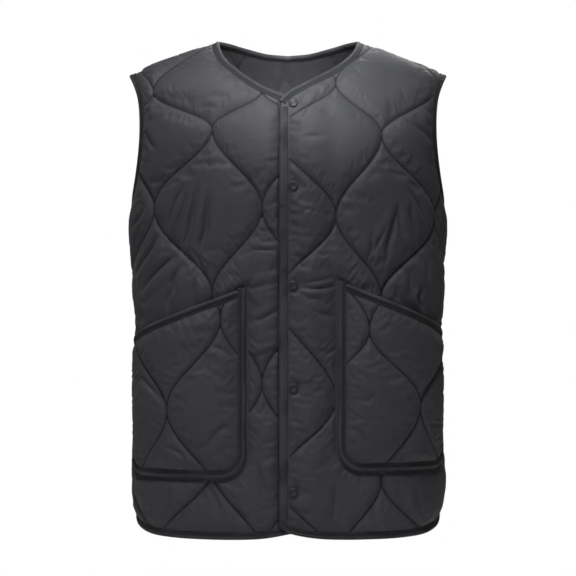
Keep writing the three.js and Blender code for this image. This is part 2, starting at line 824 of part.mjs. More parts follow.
function tapeMesh(name, stations, { closed = false, extend = [0, 0] } = {}) {
  const rings = stations.map(tapeSection);
  const grow = (end, next, by) => {
    if (by === 0) return;
    const step = rings[end][1].clone().sub(rings[next][1]).setLength(by);
    rings[end] = rings[end].map((p) => p.clone().add(step));
  };
  if (!closed) {
    grow(0, 1, extend[0]);
    grow(rings.length - 1, rings.length - 2, extend[1]);
  }
  const size = rings[0].length;
  const points = rings.flat();
  const triangles = [];
  const last = closed ? rings.length : rings.length - 1;
  for (let i = 0; i < last; i += 1) {
    const next = (i + 1) % rings.length;
    for (let k = 0; k < size; k += 1) {
      const l = (k + 1) % size;
      const [a, b, c, d] = [i * size + k, i * size + l, next * size + l, next * size + k];
      // The tape is split along the diagonal that keeps it clear of the cloth.
      const rise = points[a].clone().add(points[c]).sub(points[b]).sub(points[d]);
      if (rise.dot(awayFromCloth(stations[i], k)) >= 0) triangles.push([a, b, c], [a, c, d]);
      else triangles.push([b, c, d], [b, d, a]);
    }
  }
  if (!closed) {
    // Each end is closed over the two flaps and the fold between them.
    const cap = [
      [0, 1, 6],
      [0, 6, 7],
      [1, 2, 5],
      [1, 5, 6],
      [2, 3, 5],
      [3, 4, 5],
    ];
    const end = (rings.length - 1) * size;
    for (const [a, b, c] of cap) triangles.push([a, c, b], [end + a, end + b, end + c]);
  }
  return closedMesh(name, points, triangles, colours.tape);
}

const station = (grid, [i, j], [k, l]) => {
  const edge = grid[i][j];
  return { edge, inner: edge.across ? grid[i][j + edge.across] : grid[k][l] };
};
const between = (a, b) => {
  const half = (p, q) => ({
    outer: p.outer.clone().lerp(q.outer, 0.5),
    inner: p.inner.clone().lerp(q.inner, 0.5),
    normal: p.normal.clone().add(q.normal).normalize(),
  });
  return { edge: half(a.edge, b.edge), inner: half(a.inner, b.inner) };
};

// Snaps
function turned(name, profile, segments, colour, place, axis) {
  const outline = profile.map(([r, h]) => new THREE.Vector2(r, h));
  const mesh = new THREE.Mesh(
    new THREE.LatheGeometry(outline, segments),
    new THREE.MeshStandardMaterial({ color: colour, roughness: 0.4, metalness: 0.5 }),
  );
  mesh.name = name;
  mesh.position.copy(place);
  mesh.quaternion.setFromUnitVectors(new THREE.Vector3(0, 1, 0), axis);
  return mesh;
}

// Assembly
const vest = new THREE.Group();
const rightFront = frontPanel("right", -1, quilts.rightFront, 0);
const leftFront = frontPanel("left", 1, quilts.leftFront, overLift);
const back = backPanel();
vest.add(wallMesh("front_right", rightFront));
vest.add(wallMesh("front_left", leftFront));
vest.add(wallMesh("back", back));

const fold = tapeGap + tapeWall;
const frontColumns = neckCells.front + shoulderCells.front;
const backColumns = 2 * (neckCells.back + shoulderCells.back);

// The stations of an edge that runs over the right front, the back and the left front
function aroundBody(frontLast, backFirst, backLast, row, next) {
  const onFront = (front) => range(0, frontLast).map((j) => station(front, [row, j], [next, j]));
  const onBack = range(backFirst, backLast).map((j) => station(back, [row, j], [next, j]));
  const right = onFront(rightFront);
  const left = onFront(leftFront).reverse();
  return [
    ...right.slice(0, -1),
    between(right.at(-1), onBack[0]),
    ...onBack.slice(1, -1),
    between(onBack.at(-1), left[0]),
    ...left.slice(1),
  ];
}

// At the neck point the tape crosses the shoulder seam, so its flap lies along that seam.
for (const front of [rightFront, leftFront]) front[bodyRows][neckCells.front].across = 1;
back[bodyRows][shoulderCells.back].across = -1;
back[bodyRows][backColumns - shoulderCells.back].across = 1;
vest.add(
  tapeMesh(
    "neck_binding",
    aroundBody(
      neckCells.front,
      shoulderCells.back,
      backColumns - shoulderCells.back,
      bodyRows,
      bodyRows - 1,
    ),
    { extend: [fold, fold] },
  ),
);
vest.add(
  tapeMesh("hem_binding", aroundBody(frontColumns, 0, backColumns, 0, 1), {
    extend: [fold, fold],
  }),
);

for (const [side, front, backEdge, backNext] of [
  ["right", rightFront, 0, 1],
  ["left", leftFront, backColumns, backColumns - 1],
]) {
  vest.add(
    tapeMesh(
      `front_edge_binding_${side}`,
      range(1, bodyRows - 1).map((i) => station(front, [i, 0], [i, 1])),
    ),
  );
  const underarmFront = station(front, [sideRows, frontColumns], [sideRows - 1, frontColumns]);
  const underarmBack = station(back, [sideRows, backEdge], [sideRows - 1, backEdge]);
  const upFront = range(sideRows + 1, bodyRows).map((i) =>
    station(front, [i, frontColumns], [i, frontColumns - 1]),
  );
  const downBack = range(bodyRows, sideRows + 1).map((i) =>
    station(back, [i, backEdge], [i, backNext]),
  );
  vest.add(
    tapeMesh(
      `armhole_binding_${side}`,
      [
        between(underarmFront, underarmBack),
        ...upFront.slice(0, -1),
        between(upFront.at(-1), downBack[0]),
        ...downBack.slice(1),
      ],
      { closed: true },
    ),
  );
}

for (const [side, hand] of [
  ["right", -1],
  ["left", 1],
]) {
  const grid = pocketPanel(hand);
  const last = pocketCells;
  vest.add(wallMesh(`pocket_${side}`, grid));
  vest.add(
    tapeMesh(
      `pocket_edge_binding_${side}`,
      [
        ...range(last, 1).map((i) => station(grid, [i, 0], [i, 1])),
        station(grid, [0, 0], [1, 1]),
        ...range(1, last - 1).map((j) => station(grid, [0, j], [1, j])),
        station(grid, [0, last], [1, last - 1]),
        ...range(1, last).map((i) => station(grid, [i, last], [i, last - 1])),
      ],
      { extend: [fold, fold] },
    ),
  );
  vest.add(
    tapeMesh(
      `pocket_top_binding_${side}`,
      range(1, last - 1).map((j) => station(grid, [last, j], [last - 1, j])),
    ),
  );
}

// Each snap is a cap on the upper front, a stud between the fronts and a base inside.
const capProfile = [
  [0, 0],
  [snapRadius * 0.88, 0],
  [snapRadius, snapHeight * 0.35],
  [snapRadius * 0.93, snapHeight * 0.8],
  [snapRadius * 0.72, snapHeight],
  [0, snapHeight * 0.86],
];
const studProfile = [
  [0, 0],
  [studRadius, 0],
  [studRadius * 0.86, studHeight],
  [0, studHeight],
];
snapHeights.forEach((height, n) => {
  const face = faces.front;
  const girth = closingShift + snapOffset;
  const cloth = clothAtHeight(girth, height, face);
  const normal = formNormal(girth, cloth, face, false);
  const inward = normal.clone().negate();
  const above = (distance) => formPoint(girth, cloth, face).addScaledVector(normal, distance);
  const seats = [
    ["cap", capProfile, 16, overLift + plainWall + seamGap, normal],
    ["stud", studProfile, 12, edgeWall + fold + seamGap, normal],
    ["base", studProfile, 12, -fold - seamGap, inward],
  ];
  for (const [piece, profile, segments, distance, axis] of seats) {
    vest.add(turned(`snap_${piece}_${n + 1}`, profile, segments, colours.snap, above(distance), axis));
  }
});

export default vest;
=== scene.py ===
"""A collarless quilted vest, filled out as worn and hung from its shoulder line.

Cloth sizes are in millimetres, as a cutter writes them, and each mesh is made in metres. A place on
a panel is its girth, measured round the body from the middle, and its cloth, measured down from the
shoulder line. The front faces -Y and +X is the wearer's left.
"""
import logging
import math
from dataclasses import dataclass, field
from enum import Enum
from typing import Callable, NamedTuple, Sequence

import bpy
import numpy as np
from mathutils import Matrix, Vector
from mathutils.kdtree import KDTree


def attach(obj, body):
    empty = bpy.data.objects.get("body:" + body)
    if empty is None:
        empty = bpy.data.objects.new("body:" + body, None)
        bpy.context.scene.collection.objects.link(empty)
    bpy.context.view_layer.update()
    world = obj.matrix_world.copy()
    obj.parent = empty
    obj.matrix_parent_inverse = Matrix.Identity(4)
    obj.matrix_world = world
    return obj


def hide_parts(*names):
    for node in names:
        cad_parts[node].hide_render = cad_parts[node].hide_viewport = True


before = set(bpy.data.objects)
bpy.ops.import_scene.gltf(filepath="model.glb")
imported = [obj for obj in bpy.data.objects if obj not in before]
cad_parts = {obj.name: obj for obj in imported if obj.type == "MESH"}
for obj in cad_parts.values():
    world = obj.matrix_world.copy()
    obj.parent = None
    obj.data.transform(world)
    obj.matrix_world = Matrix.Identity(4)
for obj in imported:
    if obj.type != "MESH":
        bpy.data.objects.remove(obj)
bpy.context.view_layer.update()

LOG = logging.getLogger("vest")
MM = 0.001
BODY = "root"

SEAM_GAP = 0.3
EDGE_WALL = 2.4  # wall thickness where the cloth is sewn flat
PLAIN_WALL = 3.0  # behind a pocket and under the overlap
CLOSING_SHIFT = 5.0  # the closing's line lies this far to the wearer's left
OVERLAP = 14.4  # each front reaches this far past the closing's line
TAPE_WIDTH = 8.6
CLOSING_TAPE_WIDTH = 10.7
FLAP_SHARE = 0.91  # share of a tape's width that its flap covers
FLAP = FLAP_SHARE * TAPE_WIDTH
CLOSING_CLEAR = 4  # lattice cells that the closing's tape leaves to the tapes at its ends
TOP_CLEAR = 5  # the same for a pocket's top tape
CLOSING_STEEP = 3.0  # how much faster the wadding swells beside the closing
SNAP_GIRTH = 6.95
SNAP_HEIGHTS = (-94.2, -201, -332, -467, -604)
SNAP_SEAT = 7.2  # the cloth lies flat this far round a snap's middle
WAVE_LENGTH = 1.18  # length of a quilting line for each millimetre of height

Array = np.ndarray


class Side(Enum):
    """A side of the wearer, with the sign of X there."""

    RIGHT = -1
    LEFT = 1


class Face(Enum):
    """The front or the back of the body, with the sign of Y there."""

    FRONT = -1
    BACK = 1


class Held(Enum):
    """How a piece of cloth is held."""

    HUNG = "hung"
    FOLDED = "folded"


class Spot(NamedTuple):
    """A point of an outline, across the body from its middle and in height."""

    across: float
    height: float


class HemSpot(NamedTuple):
    """A point of the hem, by girth and height."""

    girth: float
    height: float


class ArmSpot(NamedTuple):
    """A point of the armhole, by its share of the depth and its girth before the side seam."""

    share: float
    from_side: float


class Section(NamedTuple):
    """A section of the body, by how far it lies below the shoulder line."""

    drop: float
    half_width: float
    front: float
    back: float
    square: float


def table(kind: type, *rows: tuple[float, ...]) -> tuple:
    """A table's rows, with the names of their columns."""
    return tuple(kind(*row) for row in rows)


# Outlines and sections, as the solids have them
SECTIONS = table(Section,
    (0, 219, 120, 112, 3.2), (40, 210, 120, 114, 3.0), (80, 208, 121, 117, 2.8),
    (130, 208.5, 123, 118, 2.6), (177, 208.5, 124, 117, 2.5), (260, 206.5, 123, 113, 2.4),
    (370, 200.5, 121, 109, 2.4), (480, 203, 120, 109, 2.4), (555, 206.5, 120, 110, 2.4),
    (610, 202, 119, 109, 2.4), (720, 201, 117, 107, 2.4),
)
FRONT_NECKS = {
    Side.RIGHT: table(Spot,
        (-19.4, -95), (0, -85), (24, -75), (42.5, -65.5), (58.7, -54), (71, -44), (82, -34),
        (89, -23.5), (93.5, -11.5), (95, -3),
    ),
    Side.LEFT: table(Spot,
        (-9.4, -91), (-4, -84.5), (5, -78), (16, -72), (35, -61.5), (56, -48.2), (73, -36),
        (85, -24.5), (92.5, -12), (95, -3),
    ),
}
BACK_NECK = table(Spot,
    (0, -17), (30, -14.6), (60, -8.4), (80, -4.2), (95, -3),
)
FRONT_ARMHOLE = table(ArmSpot,
    (0.15, 63), (0.32, 66), (0.5, 65), (0.66, 60), (0.8, 50), (0.9, 36), (0.97, 18), (1, 0),
)
BACK_ARMHOLE = table(ArmSpot,
    (0.15, 58), (0.32, 59), (0.5, 57), (0.66, 52), (0.8, 43), (0.9, 31), (0.97, 16), (1, 0),
)
SIDE_HEM = (
    HemSpot(125, -665.4), HemSpot(160, -664.4), HemSpot(192, -662), HemSpot(218, -657),
    HemSpot(245, -650), HemSpot(286, -636),
)
FRONT_HEMS = {
    Side.RIGHT: (
        HemSpot(-19.4, -655), HemSpot(-6, -657), HemSpot(31, -663.5), HemSpot(70, -665.5),
        *SIDE_HEM,
    ),
    Side.LEFT: (
        HemSpot(-9.4, -648), HemSpot(-4, -652.5), HemSpot(5, -657), HemSpot(30, -662),
        HemSpot(60, -665),
        *SIDE_HEM,
    ),
}
BACK_HEM = (
    HemSpot(0, -667), HemSpot(120, -666.5), HemSpot(170, -664), HemSpot(205, -659),
    HemSpot(240, -649), HemSpot(283, -636),
)


# Small geometry


def smoothstep(value: Array, low: float, high: float) -> Array:
    """A smooth rise from 0 at low to 1 at high."""
    t = np.clip((value - low) / (high - low), 0, 1)
    return t * t * (3 - 2 * t)


def unit(vectors: Array) -> Array:
    """The vectors at length 1."""
    return vectors / np.maximum(np.linalg.norm(vectors, axis=-1, keepdims=True), 1e-12)


def dots(first: Array, second: Array) -> Array:
    """The dot product of each pair of vectors."""
    return np.sum(first * second, axis=-1)


def arc_lengths(points: Array) -> Array:
    """The length along a polyline up to each of its points."""
    steps = np.linalg.norm(np.diff(points, axis=0), axis=1)
    return np.concatenate([[0], np.cumsum(steps)])


def resampled(along: Array, at: Array, *columns: Array) -> list[Array]:
    """Reads columns that are known along a line at other places.

    Args:
        along: the known places, rising.
        at: the places to read.
        columns: values, or rows of values, at the known places.

    Returns:
        One array for each column.
    """
    found = []
    for column in columns:
        if column.ndim == 1:
            found.append(np.interp(at, along, column))
            continue
        flat = column.reshape(len(along), -1)
        read = np.stack([np.interp(at, along, flat[:, k]) for k in range(flat.shape[1])], axis=1)
        found.append(read.reshape(len(at), *column.shape[1:]))
    return found


def spline(points: Array, steps: int = 40) -> Array:
    """A Catmull-Rom curve through points, as many short steps."""
    padded = np.concatenate([points[:1], points, points[-1:]])
    t = np.linspace(0, 1, steps, endpoint=False)[:, None]
    curve = []
    for i in range(len(points) - 1):
        p0, p1, p2, p3 = padded[i : i + 4]
        v0, v1 = (p2 - p0) / 2, (p3 - p1) / 2
        cubic = (2 * p1 - 2 * p2 + v0 + v1) * t**3
        curve.append(cubic + (3 * p2 - 3 * p1 - 2 * v0 - v1) * t**2 + v0 * t + p1)
    return np.concatenate([*curve, points[-1:]])


def evenly(points: Array, cells: int) -> Array:
    """A polyline cut into cells of equal length."""
    along = arc_lengths(points)
    return resampled(along, np.linspace(0, along[-1], cells + 1), points)[0]


def ripple(along: Array, wavelength: float, seed: int) -> Array:
    """An uneven wave along a line, about -1 to 1.

    Args:
        along: places along the line, in millimetres.
        wavelength: the usual distance between two crests.
        seed: chooses the wave's unevenness.

    Returns:
        The wave's height at each place.
    """
    first, second, third = np.random.default_rng(seed).uniform(0, 2 * math.pi, 3)
    turn = 2 * math.pi * along / wavelength
    strength = 0.65 + 0.35 * np.sin(turn / 4.3 + third)
    return np.sin(turn + first + 1.3 * np.sin(turn / 2.7 + second)) * strength


class Wave(NamedTuple):
    """A ripple's height, its usual wavelength and the seed of its unevenness."""

    height: float
    wavelength: float
    seed: int


def ripples(along: Array, waves: Sequence[Wave], number: int = 0) -> Array:
    """Several ripples together, with a number added to each seed."""
    return sum(wave.height * ripple(along, wave.wavelength, wave.seed + number) for wave in waves)


@dataclass(frozen=True)
class Puckers:
    """Small folds across a seam, which start beside it and fade away from it."""

    waves: tuple[Wave, ...]
    fade: float
    start: float

    def lift(self, along: Array, off: Array, number: int = 0) -> Array:
        """How far they lift the cloth.

        Args:
            along: places along the seam.
            off: distances from it.
            number: the seam's number, so that no two look alike.

        Returns:
            The height at each place, below 0 where the cloth is drawn in.
        """
        wave = ripples(along, self.waves, number)
        return wave * np.exp(-off / self.fade) * (1 - np.exp(-off / self.start))


EDGE_PUCKERS = Puckers((Wave(0.6, 8.5, 40), Wave(0.45, 19, 60)), fade=9, start=2)
SEAM_PUCKERS = Puckers((Wave(0.3, 11, 80),), fade=9, start=3)
LINE_PUCKERS = Puckers((Wave(0.28, 10.5, 100), Wave(0.25, 23, 130)), fade=8, start=2.6)
CLOSING_PUCKERS = Puckers((Wave(0.6, 13, 200), Wave(0.6, 31, 205)), fade=15, start=1.5)
POCKET_PUCKERS = Puckers((Wave(0.45, 15, 209),), fade=9, start=2)
NECK_GATHERS = (Wave(1.3, 10, 210), Wave(1.5, 24, 215))
TAPE_PUCKERS = (Wave(0.16, 7.3, 1), Wave(0.08, 4.6, 2))
TAPE_WOBBLE = (Wave(0.22, 13, 0),)


def search_tree(places: Array) -> KDTree:
    """A search tree of places in space."""
    tree = KDTree(len(places))
    for i, place in enumerate(places):
        tree.insert(place, i)
    tree.balance()
    return tree


def nearest(points: Array, tree: KDTree) -> tuple[Array, Array]:
    """The distance from each point to a tree's closest place, and that place's index."""
    found = [tree.find(p) for p in points.reshape(-1, 3)]
    distance = np.array([f[2] for f in found]).reshape(points.shape[:-1])
    return distance, np.array([f[1] for f in found]).reshape(points.shape[:-1])


class Smooth:
    """A smooth curve through a table's rows, level beyond its ends."""

    def __init__(self, at: Sequence[float], value: Sequence[float]) -> None:
        """Keeps the rows in rising order, with the slope at each."""
        order = np.argsort(at)
        self.at = np.asarray(at, float)[order]
        self.value = np.asarray(value, float)[order]
        before = np.maximum(np.arange(len(order)) - 1, 0)
        after = np.minimum(np.arange(len(order)) + 1, len(order) - 1)
        rise = self.value[after] - self.value[before]
        self.slope = rise / (self.at[after] - self.at[before])

    def __call__(self, x: Array) -> Array:
        """The curve's value at x."""
        i = np.clip(np.searchsorted(self.at, x) - 1, 0, len(self.at) - 2)
        width = self.at[i + 1] - self.at[i]
        t = np.clip((x - self.at[i]) / width, 0, 1)
        start = self.value[i] * (2 * t**3 - 3 * t**2 + 1) + self.slope[i] * width * (t**3 - 2 * t**2 + t)
        return start + self.value[i + 1] * (3 * t**2 - 2 * t**3) + self.slope[i + 1] * width * (t**3 - t**2)


# The body's form


class Fall:
    """How a face falls from the shoulder seam, along a curve that steepens over its length."""

    def __init__(self, length: int, crest: float = math.radians(20)) -> None:
        """Works out how far down and out each millimetre of cloth lies."""
        self.length = length
        left = 1 - (np.arange(1, length + 1) - 0.5) / length
        angle = crest + (math.pi / 2 - crest) * (1 - left**2)
        self.steps = np.arange(length + 1.0)
        self._down = np.concatenate([[0], np.cumsum(np.sin(angle))])
        self._out = np.concatenate([[0], np.cumsum(np.cos(angle))])
        self._out /= self._out[-1]

    def down(self, cloth: Array) -> Array:
        """How far down a length of cloth reaches."""
        return np.interp(cloth, self.steps, self._down) + np.maximum(cloth - self.length, 0)

    def out(self, cloth: Array) -> Array:
        """The share of the body's depth that a length of cloth reaches."""
        return np.interp(cloth, self.steps, self._out)

    def cloth_at(self, drop: Array) -> Array:
        """The length of cloth that reaches a drop."""
        return np.interp(drop, self._down, self.steps) + np.maximum(drop - self._down[-1], 0)


@dataclass
class BodyForm:
    """The smooth form that the panels' inner sides lie on."""

    neck_half: float = 95
    neck_point: float = -3
    shoulder_half: float = 213.3
    slope: float = 0.335
    bend: float = 0.00043
    crest_round: float = 0.42
    round_from: float = 0.4
    round_to: float = 0.85
    steps: int = 96
    falls: dict[Face, Fall] = field(default_factory=lambda: {Face.FRONT: Fall(238), Face.BACK: Fall(205)})

    def __post_init__(self) -> None:
        """Makes the curves through the sections."""
        drops = [s.drop for s in SECTIONS]
        self.half_width = Smooth(drops, [s.half_width for s in SECTIONS])
        self.square = Smooth(drops, [s.square for s in SECTIONS])
        self.depth = {
            Face.FRONT: Smooth(drops, [s.front for s in SECTIONS]),
            Face.BACK: Smooth(drops, [s.back for s in SECTIONS]),
        }

    def shoulder_height(self, x: Array) -> Array:
        """The height of the shoulder line at a place across the body."""
        past = np.abs(x) - self.neck_half
        sloping = self.neck_point - self.slope * past - self.bend * past**2
        crown = 1 - (np.abs(x) / self.neck_half) ** 2
        return np.where(past >= 0, sloping, self.neck_point + self.slope * self.neck_half * crown / 2)

    def quarter(self, drop: Array, face: Face) -> tuple[Array, Array, Array]:
        """A quarter of the section at each drop.

        Returns:
            Places across, depths and girths, one row for each drop.
        """
        angle = np.linspace(0, math.pi / 2, self.steps + 1)
        power = (2 / self.square(drop))[:, None]
        x = self.half_width(drop)[:, None] * np.sin(angle) ** power
        y = self.depth[face](drop)[:, None] * np.maximum(np.cos(angle), 0) ** power
        y[:, -1] = 0
        along = np.cumsum(np.hypot(np.diff(x, axis=1), np.diff(y, axis=1)), axis=1)
        return x, y, np.concatenate([np.zeros((len(drop), 1)), along], axis=1)

    @staticmethod
    def walk(key: Array, value: Array, *columns: Array) -> list[Array]:
        """Reads columns where each row's key reaches a value."""
        rows = np.arange(len(value))
        i = np.clip((key < value[:, None]).sum(axis=1) - 1, 0, key.shape[1] - 2)
        low, high = key[rows, i], key[rows, i + 1]
        t = np.clip((value - low) / (high - low), 0, 1)
        return [column[rows, i] * (1 - t) + column[rows, i + 1] * t for column in columns]

    def side_girth(self, cloth: Array, face: Face) -> Array:
        """The girth from the middle to the side seam."""
        drop = self.falls[face].down(np.atleast_1d(cloth).astype(float))
        return self.quarter(drop, face)[2][:, -1]

    def point(self, girth: Array, cloth: Array, face: Face) -> Array:
        """Points of the form, in millimetres.

        Args:
            girth: signed girths.
            cloth: lengths below the shoulder line.
            face: the face they lie on.

        Returns:
            The points, with a last axis of x, y and z.
        """
        around, length = np.ravel(girth).astype(float), np.ravel(cloth).astype(float)
        drop = self.falls[face].down(length)
        x, y, along = self.quarter(drop, face)
        across, depth = self.walk(along, np.abs(around), x, y)
        share = np.abs(around) / along[:, -1]
        rounding = 1 - self.crest_round * smoothstep(share, self.round_from, self.round_to)
        out = depth * self.falls[face].out(length) ** rounding
        height = self.shoulder_height(across) - drop
        found = [np.where(around < 0, -across, across), face.value * (SEAM_GAP / 2 + out), height]
        return np.stack(found, axis=-1).reshape(*np.shape(girth), 3)

    def cloth_at(self, girth: Array, height: Array, face: Face) -> Array:
        """The length of cloth at which a girth reaches a height."""
        cloth = self.falls[face].cloth_at(-np.asarray(height, float))
        for _ in range(6):
            x = self.point(girth, cloth, face)[..., 0]
            cloth = self.falls[face].cloth_at(np.maximum(self.shoulder_height(x) - height, 0))
        return cloth

    def from_across(self, spots: Array, face: Face) -> Array:
        """Outline points given across the body and in height, as girth and cloth."""
        drop = np.maximum(self.shoulder_height(spots[:, 0]) - spots[:, 1], 0)
        x, _, along = self.quarter(drop, face)
        girth = self.walk(x, np.abs(spots[:, 0]), along)[0]
        cloth = self.falls[face].cloth_at(drop)
        return np.stack([np.where(spots[:, 0] < 0, -girth, girth), cloth], axis=1)


# Quilting


@dataclass(frozen=True)
class Quilting:
    """Touching waves. Each swings between two neighbouring columns and meets the next at the rows."""

    columns: tuple[float, ...]
    rows: tuple[float, ...]

    def wave(self, k: int, height: Array) -> Array:
        """The girth of wave k at a height."""
        rows = np.array(self.rows)
        i = (np.asarray(height)[..., None] < rows[1:-1]).sum(axis=-1)
        phase = i + (rows[i] - height) / (rows[i] - rows[i + 1])
        low, high = self.columns[k], self.columns[k + 1]
        return (low + high) / 2 - (high - low) / 2 * np.cos(math.pi * (phase + k))

    def closest(self, girth: Array, height: Array) -> tuple[Array, Array, Array]:
        """The distance to the closest line, its number with a side, and the place along it."""
        best = np.full(np.shape(girth), np.inf)
        line = np.zeros(np.shape(girth))
        along = np.zeros(np.shape(girth))
        for k in range(len(self.columns) - 1):
            here = self.wave(k, height)
            lean = self.wave(k, height + 1) - here
            off = (girth - here) / np.hypot(1, lean)
            closer = np.abs(off) < best
            best = np.where(closer, np.abs(off), best)
            line = np.where(closer, 2 * k + (off > 0), line)
            along = np.where(closer, -height * WAVE_LENGTH, along)
        return best, line, along


QUILTS = {
    "right_front": Quilting(
        columns=(-28, 34, 100, 185, 262, 333), rows=(8, -75, -125, -229, -343, -461, -573, -685)
    ),
    "left_front": Quilting(
        columns=(-14, 63, 124, 212, 283, 350), rows=(10, -65, -133, -240, -347, -483, -589, -697)
    ),
    "back": Quilting(
        columns=(0, 70, 140, 210, 280, 350), rows=(45, -35, -120, -232, -345, -460, -575, -690)
    ),
    "right_pocket": Quilting(
        columns=(-52, 17, 86, 155, 224, 293), rows=(-128, -251, -376, -498, -620)
    ),
    "left_pocket": Quilting(
        columns=(-35, 34, 103, 172, 241, 310), rows=(-140, -265, -390, -492, -620)
    ),
}


class Crease(NamedTuple):
    """A soft trough between two places, given across the body and in height."""

    across: float
    height: float
    to_across: float
    to_height: float
    width: float
    depth: float


@dataclass(frozen=True)
class CreaseForm:
    """How a crease runs and how it looks across, in shares of its length, width and depth."""

    overrun: float = 0.125
    bend: float = 0.6
    wander: float = 0.25
    wander_length: float = 38  # millimetres
    trough: float = 0.62
    ridge: float = 0.4
    ridge_width: float = 1.3
    ridge_place: float = 2.1
    full_depth: float = 2.7  # depth before the wadding's loft evens it out

    def relief(self, crease: Crease, share: Array, aside: Array, down: Array, number: int) -> Array:
        """How far a crease presses the cloth in, below 0, or lifts it beside its trough.

        Args:
            crease: the crease.
            share: places along it, 0 and 1 at its ends.
            aside: distances beside its line.
            down: heights from its start.
            number: its number, which makes its bend its own.

        Returns:
            The height at each place.
        """
        along = (share + self.overrun) / (1 + 2 * self.overrun)
        window = np.sin(math.pi * np.clip(along, 0, 1))
        bend = self.bend * np.sin(math.pi * share + number)
        across = aside / crease.width + bend + self.wander * ripple(down, self.wander_length, number)
        trough = np.exp(-((across / self.trough) ** 2))
        ridge = np.exp(-(((across - self.ridge_place) / self.ridge_width) ** 2))
        return self.full_depth * crease.depth * window * (self.ridge * ridge - trough)


# Main creases, from a place to a place, with the width and the depth of each
RIGHT_CREASES = table(Crease,
    (135, -200, 161, -272, 4.5, 1.7), (125, -203, 150, -274, 4, 1.5),
    (115, -205, 139, -287, 5, 1.9), (102, -212, 120, -306, 5.5, 1.9),
    (172, -265, 195, -315, 5, 2.6), (150, -290, 187, -338, 6, 2.2), (140, -304, 155, -366, 5, 1.7),
    (117, -318, 125, -358, 4, 1.3), (122, -282, 110, -318, 4, 1.2), (184, -225, 201, -252, 5, 1.4),
    (50, -287, 15, -285, 3, 1.0), (42, -260, 14, -261, 3, 0.9), (62, -336, 30, -328, 4, 1.1),
    (50, -380, 12, -364, 4, 1.0), (46, -424, 15, -417, 3, 0.9), (116, -89, 80, -88, 5, 0.7),
    (117, -102, 90, -102, 5, 0.6), (191, -91, 181, -112, 4, 1.4), (187, -128, 172, -150, 5, 1.2),
    (150, -600, 158, -640, 5, 1.4), (96, -592, 90, -640, 6, 1.3), (40, -560, 34, -610, 5, 1.1),
)
LEFT_CREASES = table(Crease,
    (109, -266, 102, -300, 4, 1.2), (122, -255, 113, -290, 4, 1.1), (140, -225, 129, -300, 5, 1.8),
    (144, -233, 149, -266, 4, 1.3), (160, -228, 167, -277, 5, 2.0), (162, -208, 180, -255, 5, 1.7),
    (173, -290, 181, -327, 5, 1.3), (153, -311, 160, -338, 4, 1.5), (168, -335, 176, -362, 5, 1.9),
    (140, -337, 145, -351, 4, 1.2), (15, -334, 66, -333, 3.4, 1.5), (16, -327, 61, -325, 4, 0.9),
    (17, -236, 30, -233, 3, 0.8), (18, -108, 38, -96, 4, 0.8), (20, -143, 44, -134, 5, 0.9),
    (40, -82, 69, -79, 4, 1.0), (178, -86, 192, -108, 5, 1.5), (158, -109, 188, -145, 6, 1.1),
    (41, -367, 66, -381, 5, 0.8), (49, -426, 66, -414, 4, 1.2), (17, -420, 30, -417, 3, 0.8),
    (60, -596, 64, -642, 5, 1.2), (120, -604, 112, -645, 6, 1.3), (168, -600, 174, -640, 5, 1.4),
)
BACK_CREASES = table(Crease,
    (-4, -26, -16, -68, 5, 3.2), (0, -48, 9, -70, 4, 2.4), (44, -30, 41, -56, 4, 2.8),
    (-50, -32, -42, -56, 4, 1.8), (72, -24, 60, -46, 4, 1.8), (-150, -215, -120, -292, 6, 1.8),
    (-132, -205, -96, -268, 5, 1.6), (-168, -250, -150, -318, 5, 2.2),
    (-182, -180, -168, -236, 5, 1.6), (146, -222, 118, -300, 6, 1.9),
    (168, -240, 152, -300, 5, 2.1), (186, -200, 172, -262, 5, 1.5), (110, -260, 88, -318, 5, 1.3),
    (-50, -150, -22, -172, 5, 1.0), (40, -158, 14, -184, 5, 1.1), (-30, -375, 26, -388, 6, 1.3),
    (-75, -402, -20, -420, 6, 1.2), (88, -396, 30, -416, 6, 1.4), (-150, -420, -118, -470, 5, 1.5),
    (160, -430, 138, -486, 5, 1.6), (-110, -560, -96, -622, 6, 1.4), (64, -575, 52, -630, 5, 1.3),
    (150, -560, 160, -620, 6, 1.5), (-176, -540, -168, -605, 5, 1.4),
    (-188, -88, -170, -118, 5, 1.5), (188, -92, 168, -124, 5, 1.4),
)
POCKET_CREASES = table(Crease,
    (72, -424, 98, -412, 4, 0.9), (78, -520, 104, -540, 5, 1.2), (176, -452, 158, -486, 5, 1.3),
    (150, -545, 132, -562, 5, 1.2),
)


# Panels


@dataclass(frozen=True)
class Wadding:
    """How the wadding swells between stitch lines, and how it is blown up as cloth."""

    rise: float = 6.2
    near: float = 3.3
    far: float = 17.0
    frames: int = 18
    pressure: float = 5.0
    growth: float = 0.014
    cap: float = 1.1
    full_pucker: float = 4.0  # puckers are full where the loft is 1 / 4 and more
    edge_draw: float = 8.0
    seam_draw: float = 6.0
    # width of the painted shade along the stitch lines and seams
    painted_shade_width: float = 1.3

    def swell(self, distance: Array) -> Array:
        """How far the cloth rises at a distance from a stitch line."""
        close = 1 - np.exp(-distance / self.near)
        wide = 1 - np.exp(-distance / self.far)
        return self.rise * (0.5 * close + 0.5 * wide)


